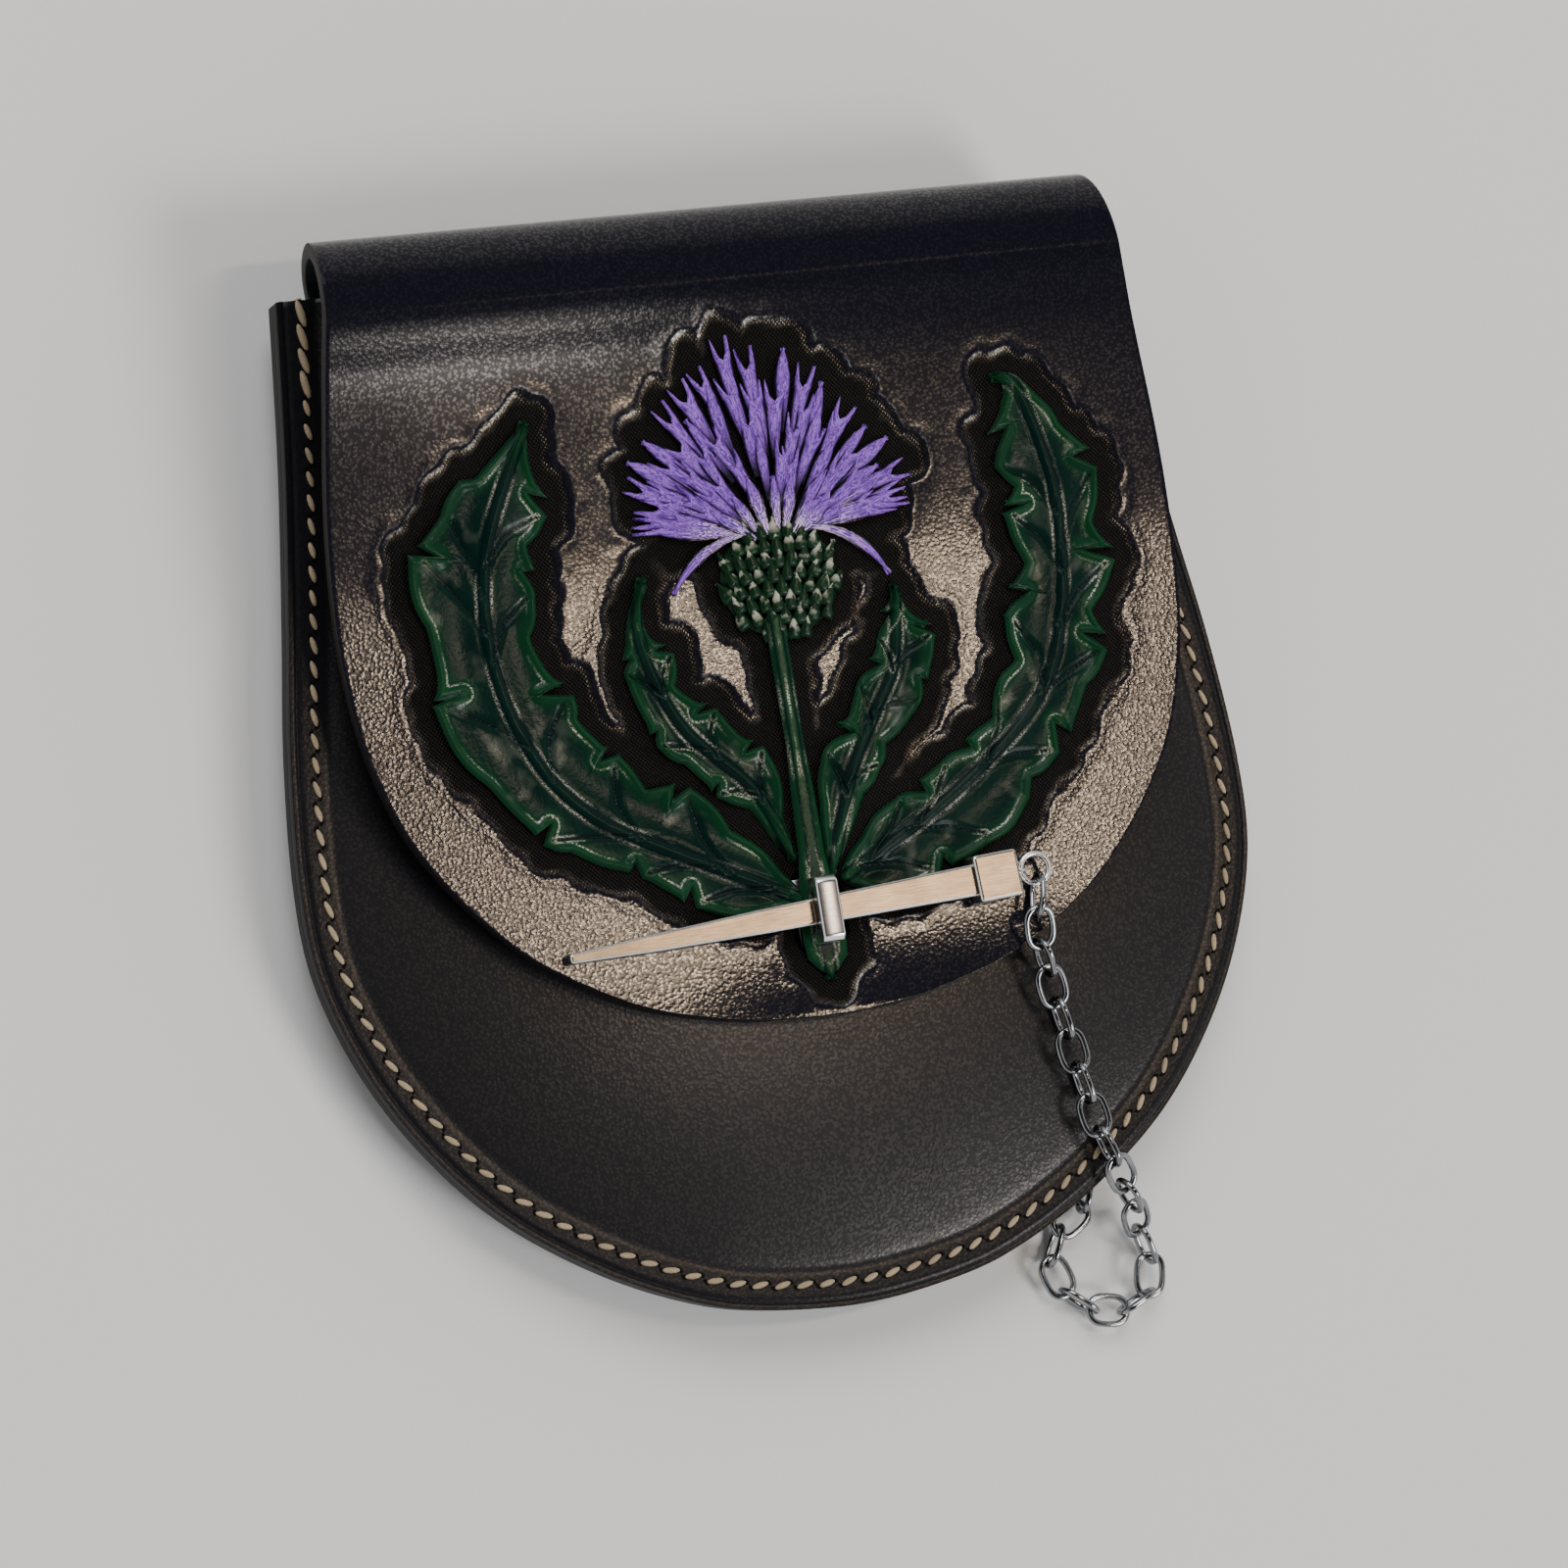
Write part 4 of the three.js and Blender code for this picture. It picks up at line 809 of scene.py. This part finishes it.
# Saddle stitching in waxed linen thread: slanted stitches in a pricked line round the rim, from
# corner to corner, the same on the front and on the back.
def thread_cream():
    thread = Finish("waxed_linen", Specular_IOR_Level=0.4, Sheen_Weight=0.2, Roughness=0.6)
    fibre = thread.noise(2600.0, 3.0)
    clean = thread.mix(fibre, (0.20, 0.14, 0.08), (0.50, 0.40, 0.25))
    soil = thread.span(thread.noise(60.0), 0.4, 0.75, 0.0, 0.55)
    thread.feed(Base_Color=thread.mix(soil, clean, (0.13, 0.085, 0.05)), Normal=thread.bump(fibre, 0.6, 0.0002))
    return thread.material


stitch_pitch, stitch_inset, stitch_long = 4.62, 4.8, 3.5


def add_stitch(bm, x, y, z, turn, long=stitch_long, thick=1.0):
    made = bmesh.ops.create_uvsphere(bm, u_segments=8, v_segments=6, radius=1)["verts"]
    shape = Matrix.Translation((x, y, z)) @ Matrix.Rotation(turn, 4, "Z") @ Matrix.Rotation(math.pi / 2, 4, "Y")
    bmesh.ops.transform(bm, matrix=shape @ Matrix.Diagonal((0.42 * thick, 0.60 * thick, long / 2, 1)), verts=made)


def add_hole(bm, x, y, turn):
    made = bmesh.ops.create_circle(bm, cap_ends=True, segments=10, radius=1)["verts"]
    shape = Matrix.Translation((x, y, rim_high + 0.03)) @ Matrix.Rotation(turn, 4, "Z")
    bmesh.ops.transform(bm, matrix=shape @ Matrix.Diagonal((0.75, 0.42, 1, 1)), verts=made)


# The first four stitches are doubled, and the thread is wrapped over the top edge beside them
ahead = directions(edge_line)
seam_line = edge_line + np.stack([-ahead[:, 1], ahead[:, 0]], axis=1) * stitch_inset
gone = np.concatenate([[0], np.cumsum(np.linalg.norm(np.diff(seam_line, axis=0), axis=1))])
count = int(gone[-1] / stitch_pitch)
front_thread, back_thread, holes = bmesh.new(), bmesh.new(), bmesh.new()
picks = random.Random(3)
for k in range(count):
    at = (k + 0.5) * gone[-1] / count
    x, y = (np.interp(at, gone, seam_line[:, i]) for i in (0, 1))
    tx, ty = (np.interp(at, gone, ahead[:, i]) for i in (0, 1))
    turn = math.atan2(ty, tx) + 0.30 + picks.uniform(-0.06, 0.06)
    long, thick = (stitch_pitch + 1.0, 1.35) if k < 4 else (stitch_long, 1.0)
    add_stitch(front_thread, x, y, rim_high + 0.16, turn, long + picks.uniform(-0.2, 0.2), thick)
    add_stitch(back_thread, x, y, back_low - 0.12, turn - 0.6)
    for end in (-1.85, 1.85):
        add_hole(holes, x + end * math.cos(turn), y + end * math.sin(turn), turn - 0.9)
made = bmesh.ops.create_uvsphere(front_thread, u_segments=10, v_segments=8, radius=1)["verts"]
shape = Matrix.Translation((seam_line[0][0], pocket_top + 0.2, rim_high - hide))
bmesh.ops.transform(front_thread, matrix=shape @ Matrix.Diagonal((0.75, 0.5, hide + 0.4, 1)), verts=made)
thread_finish = thread_cream()
# The pricked holes are flat near-black discs on the rim: painted shade standing in for the shade inside the holes
hole_shade_finish = plain_finish("pricked_hole_shade", (900.0,), (0.001, 0.001, 0.001), (0.004, 0.003, 0.003), 0.9,
                           Specular_IOR_Level=0.1)
finish_piece(front_thread, "front_stitches", [thread_finish])
finish_piece(back_thread, "back_stitches", [thread_finish])
finish_piece(holes, "stitch_holes", [hole_shade_finish])


# Belt loop: a wide strip of 2.6 mm leather on the back, sewn down at both ends and raised between
# them, so that a belt passes through. The pouch rests on it.
loop_hide, belt_wide, loop_long, loop_bend, loop_tab = 2.6, 62.0, 96.0, 10.0, 14.0
tab_low = back_low - 0.2 - loop_hide
bm = bmesh.new()
bmesh.ops.create_grid(bm, x_segments=48, y_segments=80, size=1)
end = belt_wide / 2 + loop_bend + loop_tab
for vert in bm.verts:
    x, y = vert.co.x * loop_long / 2, vert.co.y * end
    rise = min(max((abs(y) - belt_wide / 2) / loop_bend, 0), 1)
    vert.co = (x, y, tab_low * (0.5 - 0.5 * math.cos(math.pi * rise)))
bmesh.ops.reverse_faces(bm, faces=bm.faces)
loop = leather_piece(bm, "belt_loop_strip", pocket_finish, loop_hide, 0.4)
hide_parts("belt_loop")
bm = bmesh.new()
for y in (end - 4, -end + 4):
    for k in range(19):
        add_stitch(bm, -41.6 + k * stitch_pitch, y, tab_low - 0.12, -0.3)
for x in (loop_long / 2 - 4, -loop_long / 2 + 4):
    for y in (end - 8.4, -end + 8.4):
        add_stitch(bm, x, y, tab_low - 0.12, math.pi / 2 - 0.3)
finish_piece(bm, "loop_stitches", [thread_finish])


# The clasp: a cast staple fixed to the pocket front comes up through the slot in the flap, and a
# flat tapered pin with a square collar is pushed through it. Both are pale brushed pewter, with a
# painted highlight: near white wherever they do not face straight up, as on their bevels.
def pewter(name, pale, dark, edge, rough):
    metal = Finish(name, Metallic=1.0)
    drawn = add_node(metal.tree, "Mapping", {"Vector": metal.place, "Scale": (240.0, 3600.0, 3600.0)}).outputs[0]
    brush = metal.noise(1.0, 3.0, at=drawn)
    # Painted highlight: the colour turns to the near-white edge colour where the surface does not face straight up
    facing = metal.axes(add_node(metal.tree, "NewGeometry").outputs["Normal"])["Z"]
    bevel_highlight_tone = metal.mix(metal.span(facing, 0.985, 0.90), metal.mix(metal.noise(140.0, 4.0), dark, pale), edge)
    metal.feed(Base_Color=bevel_highlight_tone, Roughness=metal.span(brush, 0.3, 0.7, rough - 0.02, rough + 0.03),
               Normal=metal.bump(brush, 0.03, 0.0001))
    return metal.material


pin_finish = pewter("pin_pewter", (0.235, 0.18, 0.128), (0.095, 0.070, 0.050), (0.90, 0.88, 0.85), 0.26)
staple_finish = pewter("staple_pewter", (0.36, 0.35, 0.36), (0.16, 0.155, 0.16), (0.90, 0.90, 0.92), 0.24)
pin_long, pin_wide, pin_thick, pin_behind = 85.0, 6.3, 2.7, 53.0
collar_side, collar_thick, ring_wire, ring_outer = 9.3, 5.4, 1.2, 7.2
pin_lean = (collar_thick - pin_thick) / 2 / pin_long
pin_at_slot = flap_high(slot_y) + 0.3 + pin_thick / 2 + pin_lean * pin_behind
clasp_turn = (Matrix.Translation((0, slot_y, pin_at_slot)) @ Matrix.Rotation(math.radians(2.7), 4, "Z")
              @ Matrix.Rotation(-math.atan(pin_lean), 4, "Y"))
pin_taper = ((0.0, 0.3), (0.07, 0.38), (0.19, 0.54), (0.32, 0.64), (0.46, 0.76), (0.6, 0.82), (1.0, 1.0))


def bevel_all(bm, wide, segments):
    bmesh.ops.bevel(bm, geom=[e for e in bm.edges if e.calc_face_angle(0) > 0.5], offset=wide, segments=segments,
                    profile=0.5, affect="EDGES", material=-1, clamp_overlap=True)


def add_bar(bm, corners, along, wide, segments):
    """An outline drawn out into a bar with bevelled edges."""
    face = bm.faces.new([bm.verts.new(corner) for corner in corners])
    grown = bmesh.ops.extrude_face_region(bm, geom=[face], use_keep_orig=True)["geom"]
    bmesh.ops.translate(bm, verts=[g for g in grown if isinstance(g, bmesh.types.BMVert)], vec=along)
    bmesh.ops.recalc_face_normals(bm, faces=bm.faces)
    bevel_all(bm, wide, segments)


def add_block(bm, size, middle, wide, segments):
    block = bmesh.new()
    bmesh.ops.create_cube(block, size=1)
    bmesh.ops.scale(block, vec=size, verts=block.verts)
    bevel_all(block, wide, segments)
    bmesh.ops.translate(block, vec=middle, verts=block.verts)
    held = bpy.data.meshes.new("held")
    block.to_mesh(held)
    block.free()
    bm.from_mesh(held)


def add_ring(bm, wire, outer, sides, steps):
    """A ring of round wire about the Z axis."""
    section = bmesh.ops.create_circle(bm, segments=sides, radius=wire / 2)["verts"]
    bmesh.ops.rotate(bm, verts=section, matrix=Matrix.Rotation(math.pi / 2, 3, "X"))
    bmesh.ops.translate(bm, verts=section, vec=((outer - wire) / 2, 0, 0))
    bmesh.ops.spin(bm, geom=bm.verts[:] + bm.edges[:], axis=(0, 0, 1), cent=(0, 0, 0), angle=math.tau, steps=steps,
                   use_merge=True)


bm = bmesh.new()
collar_at = pin_long - pin_behind
upper = [(a * pin_long - pin_behind, w * pin_wide / 2) for a, w in pin_taper] + [(collar_at + 4, pin_wide / 2)]
plan = upper + [(x, -y) for x, y in upper[::-1]]
add_bar(bm, [(x, y, pin_thick / 2) for x, y in plan], (0, 0, -pin_thick), 0.5, 3)
add_block(bm, (collar_side, collar_side, collar_thick), (collar_at + collar_side / 2, 0, 0), 0.6, 3)
bmesh.ops.transform(bm, matrix=clasp_turn, verts=bm.verts)
pin = finish_piece(bm, "pin_and_collar", [pin_finish], smooth=False)
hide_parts("clasp_pin")

# The eye ring is a round wire soldered to the collar's end
bm = bmesh.new()
add_ring(bm, ring_wire, ring_outer, 12, 40)
bmesh.ops.translate(bm, verts=bm.verts, vec=(collar_at + collar_side + ring_outer / 2 + ring_wire / 2, 0, 0))
neck = bmesh.ops.create_cone(bm, cap_ends=True, segments=16, radius1=ring_wire * 0.62, radius2=ring_wire * 0.62,
                             depth=ring_wire * 2.5)["verts"]
bmesh.ops.rotate(bm, verts=neck, matrix=Matrix.Rotation(math.pi / 2, 3, "Y"))
bmesh.ops.translate(bm, verts=neck, vec=(collar_at + collar_side + ring_wire * 0.4, 0, 0))
bmesh.ops.transform(bm, matrix=clasp_turn, verts=bm.verts)
bmesh.ops.recalc_face_normals(bm, faces=bm.faces)
finish_piece(bm, "eye_ring", [staple_finish])

# The staple: an arch of flat bar with rounded corners on a small plate
low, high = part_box("clasp_staple")
staple_wide, staple_long, bar, leg, plate = 4.7, 13.2, 2.6, 2.8, 1.0
foot, top = low.z * 1000 + plate / 2, high.z * 1000
out, inn, corner = staple_long / 2, staple_long / 2 - leg, 1.1
section = ((-out, foot), (-inn, foot), (-inn, top - bar), (inn, top - bar), (inn, foot), (out, foot),
           (out, top - corner), (out - corner, top), (corner - out, top), (-out, top - corner))
bm = bmesh.new()
add_bar(bm, [(-staple_wide / 2, y + slot_y, z) for y, z in section], (staple_wide, 0, 0), 0.6, 4)
add_block(bm, (8, 14, plate), (0, slot_y, foot), 0.3, 2)
staple = finish_piece(bm, "staple", [staple_finish])
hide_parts("clasp_staple")


# The chain: oval links of dark polished steel wire from the pin's ring round to the pouch's back,
# where a wire staple holds the last one. Each takes the place and turn of its own solid.
def dark_steel():
    metal = Finish("chain_steel", Metallic=1.0)
    cloud = metal.noise(260.0, 3.0)
    metal.feed(Base_Color=metal.mix(cloud, (0.10, 0.103, 0.11), (0.42, 0.43, 0.45)),
               Roughness=metal.span(cloud, 0, 1, 0.08, 0.2))
    return metal.material


steel_finish = dark_steel()
link_long, link_wide, link_wire = 9.8, 7.0, 1.3
for name in sorted(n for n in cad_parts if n.startswith("chain_link")):
    corners = np.array([v.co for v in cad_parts[name].data.vertices]) * 1000
    middle = corners.mean(0)
    _, axes = np.linalg.eigh(np.cov((corners - middle).T))
    along, upright = Vector(axes[:, 2]), Vector(axes[:, 0])
    place = Matrix((along, upright.cross(along), upright)).transposed().to_4x4()
    place.translation = Vector(middle)
    bm = bmesh.new()
    add_ring(bm, link_wire, link_wide, 10, 28)
    for vert in bm.verts:
        vert.co.x += math.tanh(vert.co.x / 0.8) * (link_long - link_wide) / 2
    bmesh.ops.transform(bm, matrix=place, verts=bm.verts)
    bmesh.ops.recalc_face_normals(bm, faces=bm.faces)
    link = finish_piece(bm, name.replace("chain_link", "link"), [steel_finish])
    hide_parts(name)
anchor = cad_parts["chain_anchor"]
anchor.data.materials.clear()
anchor.data.materials.append(steel_finish)
